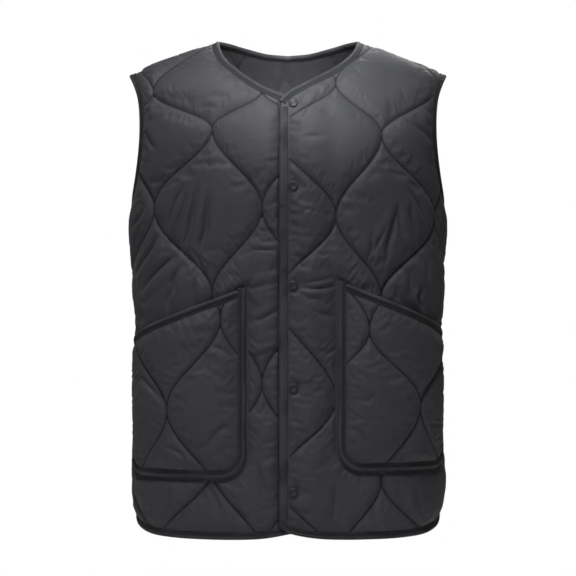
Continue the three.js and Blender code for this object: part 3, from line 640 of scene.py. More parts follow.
class Panel:
    """A quilted wall over the body's form, on a lattice of girths and cloth lengths.

    A front's girths are measured towards its own side, the back's are signed.
    """

    def __init__(
        self,
        name: str,
        form: BodyForm,
        face: Face,
        hand: int,
        quilting: Quilting,
        lattice: Array,
        creases: Sequence[Crease],
    ) -> None:
        """Keeps the lattice, whose last axis is girth and cloth."""
        self.name = name
        self.form = form
        self.face = face
        self.hand = hand
        self.quilting = quilting
        self.plain = lattice
        self.creases = creases
        self.lattice = self._snapped(lattice)

    # What a kind of panel says about itself

    def lift(self, girth: Array, height: Array) -> Array:
        """How far the inner side lies off the form."""
        return np.zeros(np.shape(girth))

    def open_distance(self, girth: Array, height: Array) -> Array:
        """The distance into the puffed part from where something else is sewn on or lies."""
        return np.full(np.shape(girth), np.inf)

    def pocket_edge(self, girth: Array, height: Array) -> Array:
        """The signed distance outside a pocket's edge."""
        return np.full(np.shape(girth), np.inf)

    def own_puckers(self, girth: Array, height: Array) -> Array:
        """Puckers that only this kind of panel has."""
        return np.zeros(np.shape(girth))

    def painted_gap_shadow(self, girth: Array) -> Array:
        """Where a shadow is painted on the cloth; none on a plain panel."""
        return np.zeros(girth.shape)

    def bound_edges(self) -> list[tuple[Array, float]]:
        """The edges that tape covers, as lattice places, each with its tape's flap."""
        raise NotImplementedError

    def seam_edges(self) -> list[Array]:
        """The edges that are seamed to another panel."""
        return []

    # Places

    def at(self, girth: Array, cloth: Array) -> Array:
        """Points of the form, in millimetres."""
        return self.form.point(self.hand * np.asarray(girth), cloth, self.face)

    def outline(self, edge: Array, cells: int = 900) -> Array:
        """Even points of the form along lattice places."""
        around, cloth = self.plain[edge[:, 0], edge[:, 1]].T
        return evenly(self.at(around, cloth), cells)

    def _quilt_key(self, girth: Array) -> Array:
        """The girth that the quilting is measured by."""
        return np.abs(girth) if self.face is Face.BACK else girth

    def _snapped(self, lattice: Array) -> Array:
        """Moves the lattice's closest vertices onto the stitch lines and the pocket's edge."""
        height = self.at(lattice[..., 0], lattice[..., 1])[..., 2]
        place = np.concatenate([lattice, height[..., None]], axis=-1)
        held = np.ones(height.shape, bool)
        held[2:-2, 2:-2] = False

        def stitch_line(k: int) -> Callable[[Array], Array]:
            """The signed girth from wave k, and nothing inside a pocket."""

            def value(p: Array) -> Array:
                off = self._quilt_key(p[..., 0]) - self.quilting.wave(k, p[..., 2])
                return np.where(self.pocket_edge(p[..., 0], p[..., 2]) < 0, np.nan, off)

            return value

        lines = [lambda p: self.pocket_edge(p[..., 0], p[..., 2])]
        lines += [stitch_line(k) for k in range(len(self.quilting.columns) - 1)]
        self.on_line = np.zeros(height.shape, bool)
        for line in lines:
            value = line(place)
            best = np.full(value.shape, 0.5)
            move = np.zeros(place.shape)
            for axis, step in ((0, 1), (0, -1), (1, 1), (1, -1)):
                other = np.roll(value, -step, axis)
                with np.errstate(all="ignore"):
                    share = value / (value - other)
                    found = (value * other < 0) & (share < best) & ~held
                best = np.where(found, share, best)
                toward = np.roll(place, -step, axis) - place
                move = np.where(found[..., None], np.nan_to_num(share)[..., None] * toward, move)
            moved = best < 0.5
            place = place + move
            held |= moved
            self.on_line |= moved
        return place[..., :2]

    def normals(self, base: Array, step: int = 1) -> Array:
        """Outward normals of the form at every vertex or every step, level on the seams."""
        across = np.gradient(base, axis=1)
        up = np.gradient(base, axis=0)
        normal = unit(np.cross(across, up))
        middle = normal[normal.shape[0] // 2, normal.shape[1] // 2]
        normal *= np.sign(middle[1]) * self.face.value
        for edge in self.seam_edges():
            rows, columns = edge[(edge % step == 0).all(axis=1)].T // step
            normal[rows, columns, 1] = 0
        return unit(normal)

    def crease_field(self, girth: Array, height: Array) -> Array:
        """How far the creases press the cloth in, below 0, or lift it beside them."""
        total = np.zeros(np.shape(girth))
        form = CreaseForm()
        for n, crease in enumerate(self.creases):
            ends = np.array([crease[:2], crease[2:4]], float)
            around = self.form.from_across(ends, self.face)[:, 0]
            start = np.array([around[0], crease.height])
            line = np.array([around[1], crease.to_height]) - start
            length = np.hypot(*line)
            off = np.stack([girth, height], axis=-1) - start
            share = off @ line / length**2
            aside = (off[..., 0] * line[1] - off[..., 1] * line[0]) / length
            total += form.relief(crease, share, aside, off[..., 1], n)
        return total

    def measure(self, wadding: Wadding, step: int = 1) -> dict[str, Array]:
        """Works out the walls over the lattice.

        Args:
            wadding: how the cloth swells.
            step: 1 for the whole lattice, or more for every few vertices of the unsnapped one.

        Returns:
            base, normal, thick, sewn, lift, margin, stitched and loft at each vertex; sewn is painted shade
            along the stitch lines, the seams and the closing's gap.
        """
        lattice = self.lattice if step == 1 else self.plain[::step, ::step]
        girth, cloth = lattice[..., 0], lattice[..., 1]
        base = self.at(girth, cloth)
        height = base[..., 2]
        normal = self.normals(base, step)
        stitched, line, along = self.quilting.closest(self._quilt_key(girth), height)
        if step == 1:
            stitched = np.where(self.on_line, 0, stitched)
        opened = self.open_distance(girth, height)
        distance = np.minimum(stitched, np.maximum(opened, 0))
        thick = wadding.swell(distance)

        margin = np.full(girth.shape, np.inf)
        pucker = self.own_puckers(girth, height)
        for n, (edge, flap) in enumerate(self.bound_edges()):
            polyline = self.outline(edge)
            far, index = nearest(base, search_tree(polyline))
            pucker += EDGE_PUCKERS.lift(arc_lengths(polyline)[index], np.maximum(far - flap, 0), n)
            margin = np.minimum(margin, far - flap)
        seam = np.full(girth.shape, np.inf)
        for n, edge in enumerate(self.seam_edges()):
            polyline = self.outline(edge)
            far, index = nearest(base, search_tree(polyline))
            pucker += SEAM_PUCKERS.lift(arc_lengths(polyline)[index], far, n)
            seam = np.minimum(seam, far)
        for k in range(2 * len(self.quilting.columns)):
            beside = (line == k) & (opened > 1)
            pucker += np.where(beside, LINE_PUCKERS.lift(along, stitched, k), 0)

        thick = thick * (1 - np.exp(-np.maximum(margin, 0) / wadding.edge_draw))
        thick = thick * (1 - np.exp(-seam / wadding.seam_draw))
        loft = thick / wadding.rise
        share = np.minimum(wadding.full_pucker * loft, 1)
        thick = thick + share * (pucker + self.crease_field(girth, height) * loft)
        floor = np.where(opened > 0.5, EDGE_WALL, PLAIN_WALL)
        floor = np.where(margin < 0.5, EDGE_WALL, floor)
        thick = EDGE_WALL + np.maximum(thick, 0)
        thick = np.where(opened <= 0.5, floor, thick)
        thick = np.where(margin <= 0, EDGE_WALL, thick)
        # Painted shade: the cloth is darkened along the stitch lines and seams, where their valleys fall
        # into shade.
        close = np.minimum(stitched, np.maximum(seam, 0))
        sewn = np.exp(-((close / wadding.painted_shade_width) ** 2)) * (margin > 0) * (opened > 0.5)
        # The painted shadow in the closing's gap joins the stitch lines' painted shade.
        sewn = np.maximum(sewn, self.painted_gap_shadow(girth))
        return {
            "base": base,
            "normal": normal,
            "thick": thick,
            "sewn": sewn,
            "lift": self.lift(girth, height),
            "margin": margin,
            "stitched": np.minimum(distance, np.minimum(np.maximum(margin, 0), seam)),
            "loft": loft,
        }


def refined(coarse: Array) -> Array:
    """A field on a lattice, read at twice as many cells each way."""
    for axis in (0, 1):
        rows = np.moveaxis(coarse, axis, 0)
        ghost = np.concatenate([2 * rows[:1] - rows[1:2], rows, 2 * rows[-1:] - rows[-2:-1]])
        middle = (9 * (ghost[1:-2] + ghost[2:-1]) - ghost[:-3] - ghost[3:]) / 16
        fine = np.empty((2 * len(rows) - 1, *rows.shape[1:]))
        fine[::2] = rows
        fine[1::2] = middle
        coarse = np.moveaxis(fine, 0, axis)
    return coarse


def lattice_edge(rows: range | int, columns: range | int) -> Array:
    """Lattice places along a row or a column."""
    if isinstance(rows, int):
        return np.array([(rows, j) for j in columns])
    return np.array([(i, columns) for i in rows])


@dataclass(frozen=True)
class BodyCut:
    """How a body panel is cut: its outlines and the cells along them."""

    face: Face
    neck: tuple[Spot, ...]
    armhole: tuple[ArmSpot, ...]
    hem: tuple[HemSpot, ...]
    start: float
    neck_cells: int
    shoulder_cells: int
    side_cells: int = 160
    arm_cells: int = 104
    underarm_drop: float = 177
    hem_end_drop: float = 600
    passes: int = 60

    @property
    def rows(self) -> int:
        """The cells from hem to shoulder."""
        return self.side_cells + self.arm_cells

    def lattice(self, form: BodyForm) -> Array:
        """The panel's girths and cloth lengths between its four outlines."""
        face, fall = self.face, form.falls[self.face]
        columns = self.neck_cells + self.shoulder_cells
        hem = Smooth([s.girth for s in self.hem], [s.height for s in self.hem])
        side_x = form.half_width(self.hem_end_drop)
        side_cloth = float(fall.cloth_at(form.shoulder_height(side_x) - self.hem[-1].height))
        hem_end = form.side_girth(side_cloth, face)[0]
        around = np.linspace(self.start, hem_end, columns + 1)
        bottom = np.stack([around, form.cloth_at(around, hem(around), face)], axis=1)
        bottom[-1] = hem_end, side_cloth

        neck = evenly(spline(form.from_across(np.array(self.neck, float), face)), self.neck_cells)
        across = np.linspace(form.neck_half, form.shoulder_half, self.shoulder_cells + 1)[1:]
        ridge = np.stack([across, form.shoulder_height(across)], axis=1)
        top = np.concatenate([neck, form.from_across(ridge, face)])

        down = np.linspace(bottom[0, 1], top[0, 1], self.rows + 1)
        left = np.stack([np.full(self.rows + 1, self.start), down], axis=1)
        underarm = float(fall.cloth_at(self.underarm_drop))
        seam_cloth = np.linspace(side_cloth, underarm, self.side_cells + 1)
        seam = np.stack([form.side_girth(seam_cloth, face), seam_cloth], axis=1)
        arm_cloth = np.array([underarm * s.share for s in self.armhole])
        inset = np.array([s.from_side for s in self.armhole])
        arm = np.stack([form.side_girth(arm_cloth, face) - inset, arm_cloth], axis=1)[::-1]
        arm = evenly(spline(np.concatenate([arm, top[-1:]])), self.arm_cells)
        right = np.concatenate([seam, arm[1:]])
        return relaxed(coons(bottom, top, left, right), self.passes)


def coons(bottom: Array, top: Array, left: Array, right: Array) -> Array:
    """A lattice between four outlines."""
    t = np.linspace(0, 1, len(left))[:, None, None]
    s = np.linspace(0, 1, len(bottom))[None, :, None]
    ruled = bottom[None] * (1 - t) + top[None] * t + left[:, None] * (1 - s) + right[:, None] * s
    low = bottom[0] * (1 - s) + bottom[-1] * s
    high = top[0] * (1 - s) + top[-1] * s
    return ruled - low * (1 - t) - high * t


def relaxed(lattice: Array, passes: int) -> Array:
    """Evens out a lattice between its edges."""
    lattice = lattice.copy()
    for _ in range(passes):
        around = lattice[:-2, 1:-1] + lattice[2:, 1:-1] + lattice[1:-1, :-2] + lattice[1:-1, 2:]
        lattice[1:-1, 1:-1] = around / 4
    return lattice


@dataclass(frozen=True)
class PocketCut:
    """Where a pocket is sewn on a front."""

    from_closing: float = 62
    from_side: float = 28
    top_inner: float = -327.5
    top_outer: float = -399.5
    bottom: float = -574.5
    corner: float = 32
    middle_drop: float = 400
    seat: float = 5.3
    bulge: float = 17
    seam_out: float = 4.2
    puffed: float = 24
    right_lower: float = 9
    cells: int = 96


class PocketPlace:
    """A pocket's edges on its front, in girth and height."""

    def __init__(self, form: BodyForm, hand: int, cut: PocketCut = PocketCut()) -> None:
        """Works out the edges for one hand."""
        self.cut = cut
        self.lower = cut.right_lower if hand < 0 else 0
        self.inner = hand * CLOSING_SHIFT + cut.from_closing
        middle = (cut.top_outer + cut.bottom) / 2 - self.lower
        drop = form.shoulder_height(form.half_width(cut.middle_drop)) - middle
        cloth = form.falls[Face.FRONT].cloth_at(drop)
        self.outer = form.side_girth(cloth, Face.FRONT)[0] - cut.from_side
        self.bottom = cut.bottom - self.lower

    def top_at(self, girth: Array) -> Array:
        """The height of the slanted top."""
        share = (girth - self.inner) / (self.outer - self.inner)
        return self.cut.top_inner + (self.cut.top_outer - self.cut.top_inner) * share - self.lower

    def outside(self, girth: Array, height: Array) -> Array:
        """The signed distance outside the seam that holds the pocket."""
        corner = self.cut.corner
        half = (self.outer - self.inner) / 2
        from_side = np.abs(girth - (self.inner + self.outer) / 2) - half + corner
        from_bottom = self.bottom - height + corner
        rounded = np.hypot(np.maximum(from_side, 0), np.maximum(from_bottom, 0))
        rounded = rounded + np.minimum(np.maximum(from_side, from_bottom), 0) - corner
        u = np.clip((girth - self.inner) / (self.outer - self.inner), 0, 1)
        mouth = self.cut.puffed * (1 - (2 * u - 1) ** 2)
        return np.maximum(rounded, height - self.top_at(girth) + mouth) - self.cut.seam_out


class FrontPanel(Panel):
    """A front, which reaches past the closing's line under or over the other."""

    fold_slope = 0.25
    # place and width of the painted shadow beside the upper front's edge
    shadow_inward = 0.6
    shadow_width = 1.7
    far_off = 90
    lift_fade = (6, 64)

    def __init__(
        self,
        form: BodyForm,
        side: Side,
        flat: float,
        lift: float,
        creases: Sequence[Crease],
    ) -> None:
        """Cuts a front for one side.

        Args:
            form: the body's form.
            side: the wearer's side.
            flat: how far the unpadded cloth reaches past the closing's line.
            lift: how far it lies off the form over the other front.
            creases: its main creases.
        """
        closing = side.value * CLOSING_SHIFT
        self.start = closing - OVERLAP
        self.flat_end = closing + flat
        self.over = lift
        self.pocket = PocketPlace(form, side.value)
        outlines = (FRONT_NECKS[side], FRONT_ARMHOLE, FRONT_HEMS[side])
        self.cut = BodyCut(Face.FRONT, *outlines, self.start, neck_cells=64, shoulder_cells=72)
        quilting = QUILTS[f"{side.name.lower()}_front"]
        name = f"front_{side.name.lower()}"
        lattice = self.cut.lattice(form)
        super().__init__(name, form, Face.FRONT, side.value, quilting, lattice, creases)

    def lift(self, girth: Array, height: Array) -> Array:
        """The upper front lies off the form over the lower one."""
        past, end = self.lift_fade
        return self.over * (1 - smoothstep(girth, self.start + 2 * OVERLAP + past, end))

    def pocket_edge(self, girth: Array, height: Array) -> Array:
        """The signed distance outside the pocket's seam."""
        return self.pocket.outside(girth, height)

    def open_distance(self, girth: Array, height: Array) -> Array:
        """The distance from the pocket's seam, the unpadded cloth at the closing and the snaps."""
        distance = np.minimum(self.pocket_edge(girth, height), CLOSING_STEEP * (girth - self.flat_end))
        for snap in SNAP_HEIGHTS if self.over else ():
            pressed = np.hypot(girth - SNAP_GIRTH, height - snap) - SNAP_SEAT
            distance = np.minimum(distance, pressed)
        return distance

    def own_puckers(self, girth: Array, height: Array) -> Array:
        """Short level folds beside the closing, and some round the pocket."""
        past = np.maximum(girth - self.flat_end, 0)
        folds = CLOSING_PUCKERS.lift(height + self.fold_slope * past, past, self.hand)
        off = np.clip(self.pocket_edge(girth, height), 0, self.far_off)
        return folds + np.where(off > 0, POCKET_PUCKERS.lift(girth - height, off, self.hand), 0)

    def painted_gap_shadow(self, girth: Array) -> Array:
        """A painted shadow on the lower front, in the gap beside the upper one's edge."""
        off = girth - self.flat_end + self.shadow_inward
        return np.exp(-((off / self.shadow_width) ** 2)) * (self.over == 0)

    def bound_edges(self) -> list[tuple[Array, float]]:
        """The closing's edge, the neck, the hem and the armhole."""
        cut, last = self.cut, self.plain.shape[1] - 1
        return [
            (lattice_edge(range(cut.rows + 1), 0), FLAP_SHARE * CLOSING_TAPE_WIDTH),
            (lattice_edge(cut.rows, range(cut.neck_cells + 1)), FLAP),
            (lattice_edge(0, range(last + 1)), FLAP),
            (lattice_edge(range(cut.side_cells, cut.rows + 1), last), FLAP),
        ]

    def seam_edges(self) -> list[Array]:
        """The shoulder seam and the side seam."""
        cut, last = self.cut, self.plain.shape[1] - 1
        return [
            lattice_edge(cut.rows, range(cut.neck_cells, last + 1)),
            lattice_edge(range(cut.side_cells + 1), last),
        ]


class BackPanel(Panel):
    """The back, one piece with its middle at girth 0."""

    gather_top = -20
    gather_reach = 120
    gather_fade = 24
    gather_half = 95

    def __init__(self, form: BodyForm) -> None:
        """Cuts the back as a half and its mirror image."""
        outlines = (BACK_NECK, BACK_ARMHOLE, BACK_HEM)
        self.cut = BodyCut(Face.BACK, *outlines, start=0, neck_cells=48, shoulder_cells=64)
        half = self.cut.lattice(form)
        lattice = np.concatenate([half[:, :0:-1] * [-1, 1], half], axis=1)
        super().__init__("back", form, Face.BACK, 1, QUILTS["back"], lattice, BACK_CREASES)

    def own_puckers(self, girth: Array, height: Array) -> Array:
        """Gathers below the neck tape, which show most in the lining."""
        below = np.clip(self.gather_top - height, 0, self.gather_reach)
        beside = np.exp(-((girth / self.gather_half) ** 4))
        return ripples(girth, NECK_GATHERS) * np.exp(-below / self.gather_fade) * beside

    def bound_edges(self) -> list[tuple[Array, float]]:
        """The neck, the hem and both armholes."""
        cut, last = self.cut, self.plain.shape[1] - 1
        arm = range(cut.side_cells, cut.rows + 1)
        return [
            (lattice_edge(cut.rows, range(cut.shoulder_cells, last - cut.shoulder_cells + 1)), FLAP),
            (lattice_edge(0, range(last + 1)), FLAP),
            (lattice_edge(arm, 0), FLAP),
            (lattice_edge(arm, last), FLAP),
        ]

    def seam_edges(self) -> list[Array]:
        """Both shoulder seams and both side seams."""
        cut, last = self.cut, self.plain.shape[1] - 1
        return [
            lattice_edge(cut.rows, range(cut.shoulder_cells + 1)),
            lattice_edge(cut.rows, range(last - cut.shoulder_cells, last + 1)),
            lattice_edge(range(cut.side_cells + 1), 0),
            lattice_edge(range(cut.side_cells + 1), last),
        ]


class PocketPanel(Panel):
    """A patch pocket that stands open at its slanted top."""

    def __init__(self, form: BodyForm, side: Side) -> None:
        """Cuts the pocket for one side, with rounded lower corners."""
        self.place = PocketPlace(form, side.value)
        place, corner, cells = self.place, self.place.cut.corner, self.place.cut.cells
        arc = corner * math.pi / 4
        straight = place.outer - place.inner - 2 * corner

        def side_edge(edge: float, inward: int) -> Array:
            """Girths and heights from the middle of a lower corner to the top."""
            d = np.linspace(0, place.top_at(edge) - place.bottom - corner + arc, cells + 1)
            angle = math.pi / 4 - np.minimum(d, arc) / corner
            girth = edge + inward * corner * (1 - np.cos(angle))
            height = place.bottom + corner * (1 - np.sin(angle)) + np.maximum(d - arc, 0)
            return np.stack([girth, height], axis=1)

        d = np.linspace(0, straight + 2 * arc, cells + 1)
        first = math.pi / 4 - np.minimum(d, arc) / corner
        second = np.maximum(d - arc - straight, 0) / corner
        along = place.inner + corner * (1 - np.sin(first) + np.sin(second)) + np.clip(d - arc, 0, straight)
        low = np.stack([along, place.bottom + corner * (2 - np.cos(first) - np.cos(second))], axis=1)
        girth = np.linspace(place.inner, place.outer, cells + 1)
        outlines = [
            low,
            np.stack([girth, place.top_at(girth)], axis=1),
            side_edge(place.inner, 1),
            side_edge(place.outer, -1),
        ]
        for outline in outlines:
            outline[:, 1] = form.cloth_at(outline[:, 0], outline[:, 1], Face.FRONT)
        lattice = coons(*outlines)
        name = side.name.lower()
        quilting = QUILTS[f"{name}_pocket"]
        super().__init__(f"pocket_{name}", form, Face.FRONT, side.value, quilting, lattice, POCKET_CREASES)

    def lift(self, girth: Array, height: Array) -> Array:
        """The pocket stands off the front, most in the middle of its top."""
        place, cut = self.place, self.place.cut
        u = np.clip((girth - place.inner) / (place.outer - place.inner), 0, 1)
        rise = np.clip((height - place.bottom) / (place.top_at(girth) - place.bottom), 0, 1)
        return cut.seat + cut.bulge * (1 - (1 - rise) ** 2) * (1 - (2 * u - 1) ** 2)

    def bound_edges(self) -> list[tuple[Array, float]]:
        """All four edges."""
        last = self.place.cut.cells
        whole = range(last + 1)
        places = [(whole, 0), (0, whole), (whole, last), (last, whole)]
        return [(lattice_edge(*place), FLAP) for place in places]


# Meshes


def make_object(
    name: str,
    points: Array,
    triangles: Array,
    uv: Array | None = None,
    layers: dict[str, Array] | None = None,
) -> bpy.types.Object:
    """Makes a smooth closed mesh in metres, with its faces outward.

    Args:
        name: the piece's name.
        points: its points, in millimetres.
        triangles: the indexes of each triangle's points.
        uv: places on the cloth for each point, in metres.
        layers: values to store at each point.

    Returns:
        The new object, linked to the scene.
    """
    corners = points[triangles]
    volume = np.einsum("ij,ij->i", corners[:, 0], np.cross(corners[:, 1], corners[:, 2])).sum()
    if volume < 0:
        triangles = triangles[:, ::-1]
    triangles = np.ascontiguousarray(triangles, dtype=np.int32)
    mesh = bpy.data.meshes.new(name)
    mesh.vertices.add(len(points))
    mesh.vertices.foreach_set("co", (points * MM).ravel())
    mesh.loops.add(triangles.size)
    mesh.loops.foreach_set("vertex_index", triangles.ravel())
    mesh.polygons.add(len(triangles))
    mesh.polygons.foreach_set("loop_start", np.arange(0, triangles.size, 3, dtype=np.int32))
    mesh.polygons.foreach_set("use_smooth", np.ones(len(triangles), bool))
    if uv is not None:
        mesh.uv_layers.new(name="cloth").data.foreach_set("uv", uv[triangles.ravel()].ravel())
    for layer, values in (layers or {}).items():
        mesh.attributes.new(layer, "FLOAT", "POINT").data.foreach_set("value", values)
    mesh.update(calc_edges=True)
    mesh.validate()
    piece = bpy.data.objects.new(name, mesh)
    bpy.context.scene.collection.objects.link(piece)
    return piece


def lattice_triangles(thick: Array) -> Array:
    """Two triangles for each cell, split along the diagonal that lies lower."""
    rows, columns = thick.shape
    index = np.arange(rows * columns).reshape(rows, columns)
    a, b, c, d = index[:-1, :-1], index[:-1, 1:], index[1:, 1:], index[1:, :-1]
    one = (thick[:-1, :-1] + thick[1:, 1:] <= thick[:-1, 1:] + thick[1:, :-1])[..., None]
    first = np.where(one, np.stack([a, b, c], -1), np.stack([b, c, d], -1))
    second = np.where(one, np.stack([a, c, d], -1), np.stack([b, d, a], -1))
    return np.concatenate([first.reshape(-1, 3), second.reshape(-1, 3)])


def rim_of(shape: tuple[int, int]) -> Array:
    """The lattice places round a lattice's rim."""
    rows, columns = shape[0] - 1, shape[1] - 1
    rim = [(0, j) for j in range(columns)]
    rim += [(i, columns) for i in range(rows)]
    rim += [(rows, j) for j in range(columns, 0, -1)]
    rim += [(i, 0) for i in range(rows, 0, -1)]
    return np.array(rim)


CLOTH_SETTINGS = {
    "quality": 4,
    "mass": 0.15,
    "tension_stiffness": 12,
    "compression_stiffness": 12,
    "shear_stiffness": 5,
    "bending_stiffness": 0.4,
    "air_damping": 4,
    "pin_stiffness": 1,
    "use_pressure": True,
}


class ClothBlower:
    """Blows a panel's outer cloth up between its stitch lines with Blender's cloth."""

    hold = 1.25  # how firmly a stitch line holds the cloth, past 1 to hold a little round it
    hold_reach = 5.0

    def __init__(self, wadding: Wadding) -> None:
        """Keeps the wadding's settings."""
        self.wadding = wadding

    def blown(self, name: str, walls: dict[str, Array]) -> Array:
        """How far each vertex of a coarse lattice moves from the walls that it starts with.

        Args:
            name: the panel's name.
            walls: the panel's measured walls on the coarse lattice.

        Returns:
            The moves, in millimetres.
        """
        settings = self.wadding
        start = walls["base"] + walls["normal"] * (walls["lift"] + walls["thick"])[..., None]
        rows, columns = start.shape[:2]
        index = np.arange(rows * columns).reshape(rows, columns)
        corners = [index[:-1, :-1], index[:-1, 1:], index[1:, 1:], index[1:, :-1]]
        quads = np.stack(corners, axis=-1).reshape(-1, 4)
        middle = (rows // 2, columns // 2)
        across = start[middle[0], middle[1] + 1] - start[middle]
        up = start[middle[0] + 1, middle[1]] - start[middle]
        if np.dot(np.cross(across, up), walls["normal"][middle]) < 0:
            quads = quads[:, ::-1]
        mesh = bpy.data.meshes.new(f"{name}_blown")
        mesh.from_pydata((start * MM).reshape(-1, 3).tolist(), [], quads.tolist())
        sheet = bpy.data.objects.new(mesh.name, mesh)
        bpy.context.scene.collection.objects.link(sheet)
        pinned = sheet.vertex_groups.new(name="sewn")
        hold = np.clip(self.hold - walls["stitched"] / self.hold_reach, 0, 1).ravel()
        for level in np.unique(np.round(hold[hold > 0], 1)):
            members = np.flatnonzero(np.abs(hold - level) <= 0.05)
            pinned.add(members.tolist(), float(level), "REPLACE")
        cloth = sheet.modifiers.new("cloth", "CLOTH")
        for setting, value in CLOTH_SETTINGS.items():
            setattr(cloth.settings, setting, value)
        cloth.settings.vertex_group_mass = pinned.name
        cloth.settings.shrink_min = -settings.growth
        cloth.settings.uniform_pressure_force = settings.pressure
        cloth.settings.effector_weights.gravity = 0
        cloth.collision_settings.use_collision = False
        cloth.collision_settings.use_self_collision = False
        scene = bpy.context.scene
        for frame_number in range(1, settings.frames + 1):
            scene.frame_set(frame_number)
        settled = sheet.evaluated_get(bpy.context.evaluated_depsgraph_get()).to_mesh()
        after = np.empty(len(settled.vertices) * 3)
        settled.vertices.foreach_get("co", after)
        scene.frame_set(1)
        bpy.data.objects.remove(sheet)
        move = after.reshape(start.shape) / MM - start
        size = np.linalg.norm(move, axis=-1, keepdims=True)
        return move * np.minimum(1, settings.cap / np.maximum(size, 1e-9))


class PanelMaker:
    """Turns panels into closed quilted walls."""

    inner_share = 0.45  # share of the swelling that shows inside
    inner_painted_shade = 0.8  # share of the stitch lines' painted shade that the inside keeps
    free_from, free_at = 0.5, 6  # distances from a stitch line that frees the blown cloth

    def __init__(self, wadding: Wadding) -> None:
        """Keeps the wadding."""
        self.wadding = wadding
        self.blower = ClothBlower(wadding)

    def make(self, panel: Panel) -> tuple[bpy.types.Object, dict[str, Array]]:
        """Makes a panel's wall.

        Returns:
            The wall, and its measures on the fine lattice with the outer points.
        """
        walls = panel.measure(self.wadding)
        outer = walls["base"] + walls["normal"] * (walls["lift"] + walls["thick"])[..., None]
        coarse = panel.measure(self.wadding, 2)
        move = refined(self.blower.blown(panel.name, coarse))
        free = smoothstep(walls["stitched"], self.free_from, self.free_at)[..., None]
        outer = outer + move * free
        walls["outer"] = outer
        relief = self.inner_share * (walls["thick"] - EDGE_WALL) * (walls["loft"] > 0)
        inside = walls["base"] + walls["normal"] * (walls["lift"] - relief)[..., None]
        inner, inner_thick = inside[::2, ::2], relief[::2, ::2]

        shape = outer.shape[:2]
        count = shape[0] * shape[1]
        index = np.arange(count).reshape(shape)
        inner_index = count + np.arange(inner[..., 0].size).reshape(inner.shape[:2])
        rim = rim_of(shape)
        fine = index[rim[:, 0], rim[:, 1]]
        coarse_rim = rim_of(inner.shape[:2])
        plain = inner_index[coarse_rim[:, 0], coarse_rim[:, 1]]
        turned = np.roll(plain, -1)
        middle, after = fine[1::2], np.roll(fine[::2], -1)
        strip = [
            np.stack([fine[::2], plain, middle], axis=1),
            np.stack([middle, plain, turned], axis=1),
            np.stack([middle, turned, after], axis=1),
        ]
        triangles = np.concatenate(
            [lattice_triangles(walls["thick"]), lattice_triangles(inner_thick)[:, ::-1] + count, *strip]
        )
        points = np.concatenate([outer.reshape(-1, 3), inner.reshape(-1, 3)])
        lattice = panel.lattice * MM
        uv = np.concatenate([lattice.reshape(-1, 2), lattice[::2, ::2].reshape(-1, 2)])
        # The inside keeps part of the painted shade along its stitch lines.
        inner_painted_shade = self.inner_painted_shade * walls["sewn"][::2, ::2]
        sewn = np.concatenate([walls["sewn"].ravel(), inner_painted_shade.ravel()])
        piece = make_object(panel.name + "_cloth", points, triangles, uv, {"sewn": sewn})
        return piece, walls


# Stitches


class StitchRing(NamedTuple):
    """A ring of a stitch, by its share of the length and its size."""

    share: float
    size: int


STITCH = (StitchRing(-0.5, 0), StitchRing(-0.34, 1), StitchRing(0.34, 1), StitchRing(0.5, 0))


@dataclass(frozen=True)
class Thread:
    """How a row of stitches is set."""

    pitch: float
    length: float
    radius: float
    sink: float = 1.0  # how deep the ends go in, in radii
    look: float = 0.4

    def along(self, points: Array, normals: Array) -> tuple[Array, Array]:
        """Stitches along a line.

        Args:
            points: places on the line.
            normals: outward directions there.

        Returns:
            The stitches' points and triangles.
        """
        reach = arc_lengths(points)
        count = int(reach[-1] // self.pitch)
        if count < 1:
            return np.zeros((0, 3)), np.zeros((0, 3), int)
        centre = (np.arange(count) + 0.5) * reach[-1] / count
        middle, normal = resampled(reach, centre, points, normals)
        ahead = resampled(reach, centre + self.look, points)[0]
        behind = resampled(reach, centre - self.look, points)[0]
        forward = unit(ahead - behind)
        normal = unit(normal)
        aside = unit(np.cross(forward, normal))
        rings = []
        for ring in STITCH:
            sunk = normal * self.sink * self.radius * (1 - ring.size)
            spine = middle + forward * self.length * ring.share - sunk
            if ring.size == 0:
                rings.append(spine[:, None])
                continue
            turns = [(aside, 1), (normal, 0.9), (aside, -1), (normal, -0.9)]
            rings.append(np.stack([spine + axis * sign * self.radius for axis, sign in turns], axis=1))
        stitch = np.concatenate(rings, axis=1)
        faces = [(0, 1 + k, 1 + (k + 1) % 4) for k in range(4)]
        for k in range(4):
            low, high = 1 + k, 1 + (k + 1) % 4
            faces += [(low, low + 4, high + 4), (low, high + 4, high)]
        faces += [(9, 5 + (k + 1) % 4, 5 + k) for k in range(4)]
        triangles = np.array(faces)[None] + 10 * np.arange(count)[:, None, None]
        return stitch.reshape(-1, 3), triangles.reshape(-1, 3)

    def piece(self, name: str, lines: Sequence[tuple[Array, Array]]) -> bpy.types.Object:
        """One mesh of all the stitches along several lines."""
        points, triangles, count = [], [], 0
        for places, normals in lines:
            stitch_points, stitch_triangles = self.along(places, normals)
            points.append(stitch_points)
            triangles.append(stitch_triangles + count)
            count += len(stitch_points)
        return make_object(name, np.concatenate(points), np.concatenate(triangles))


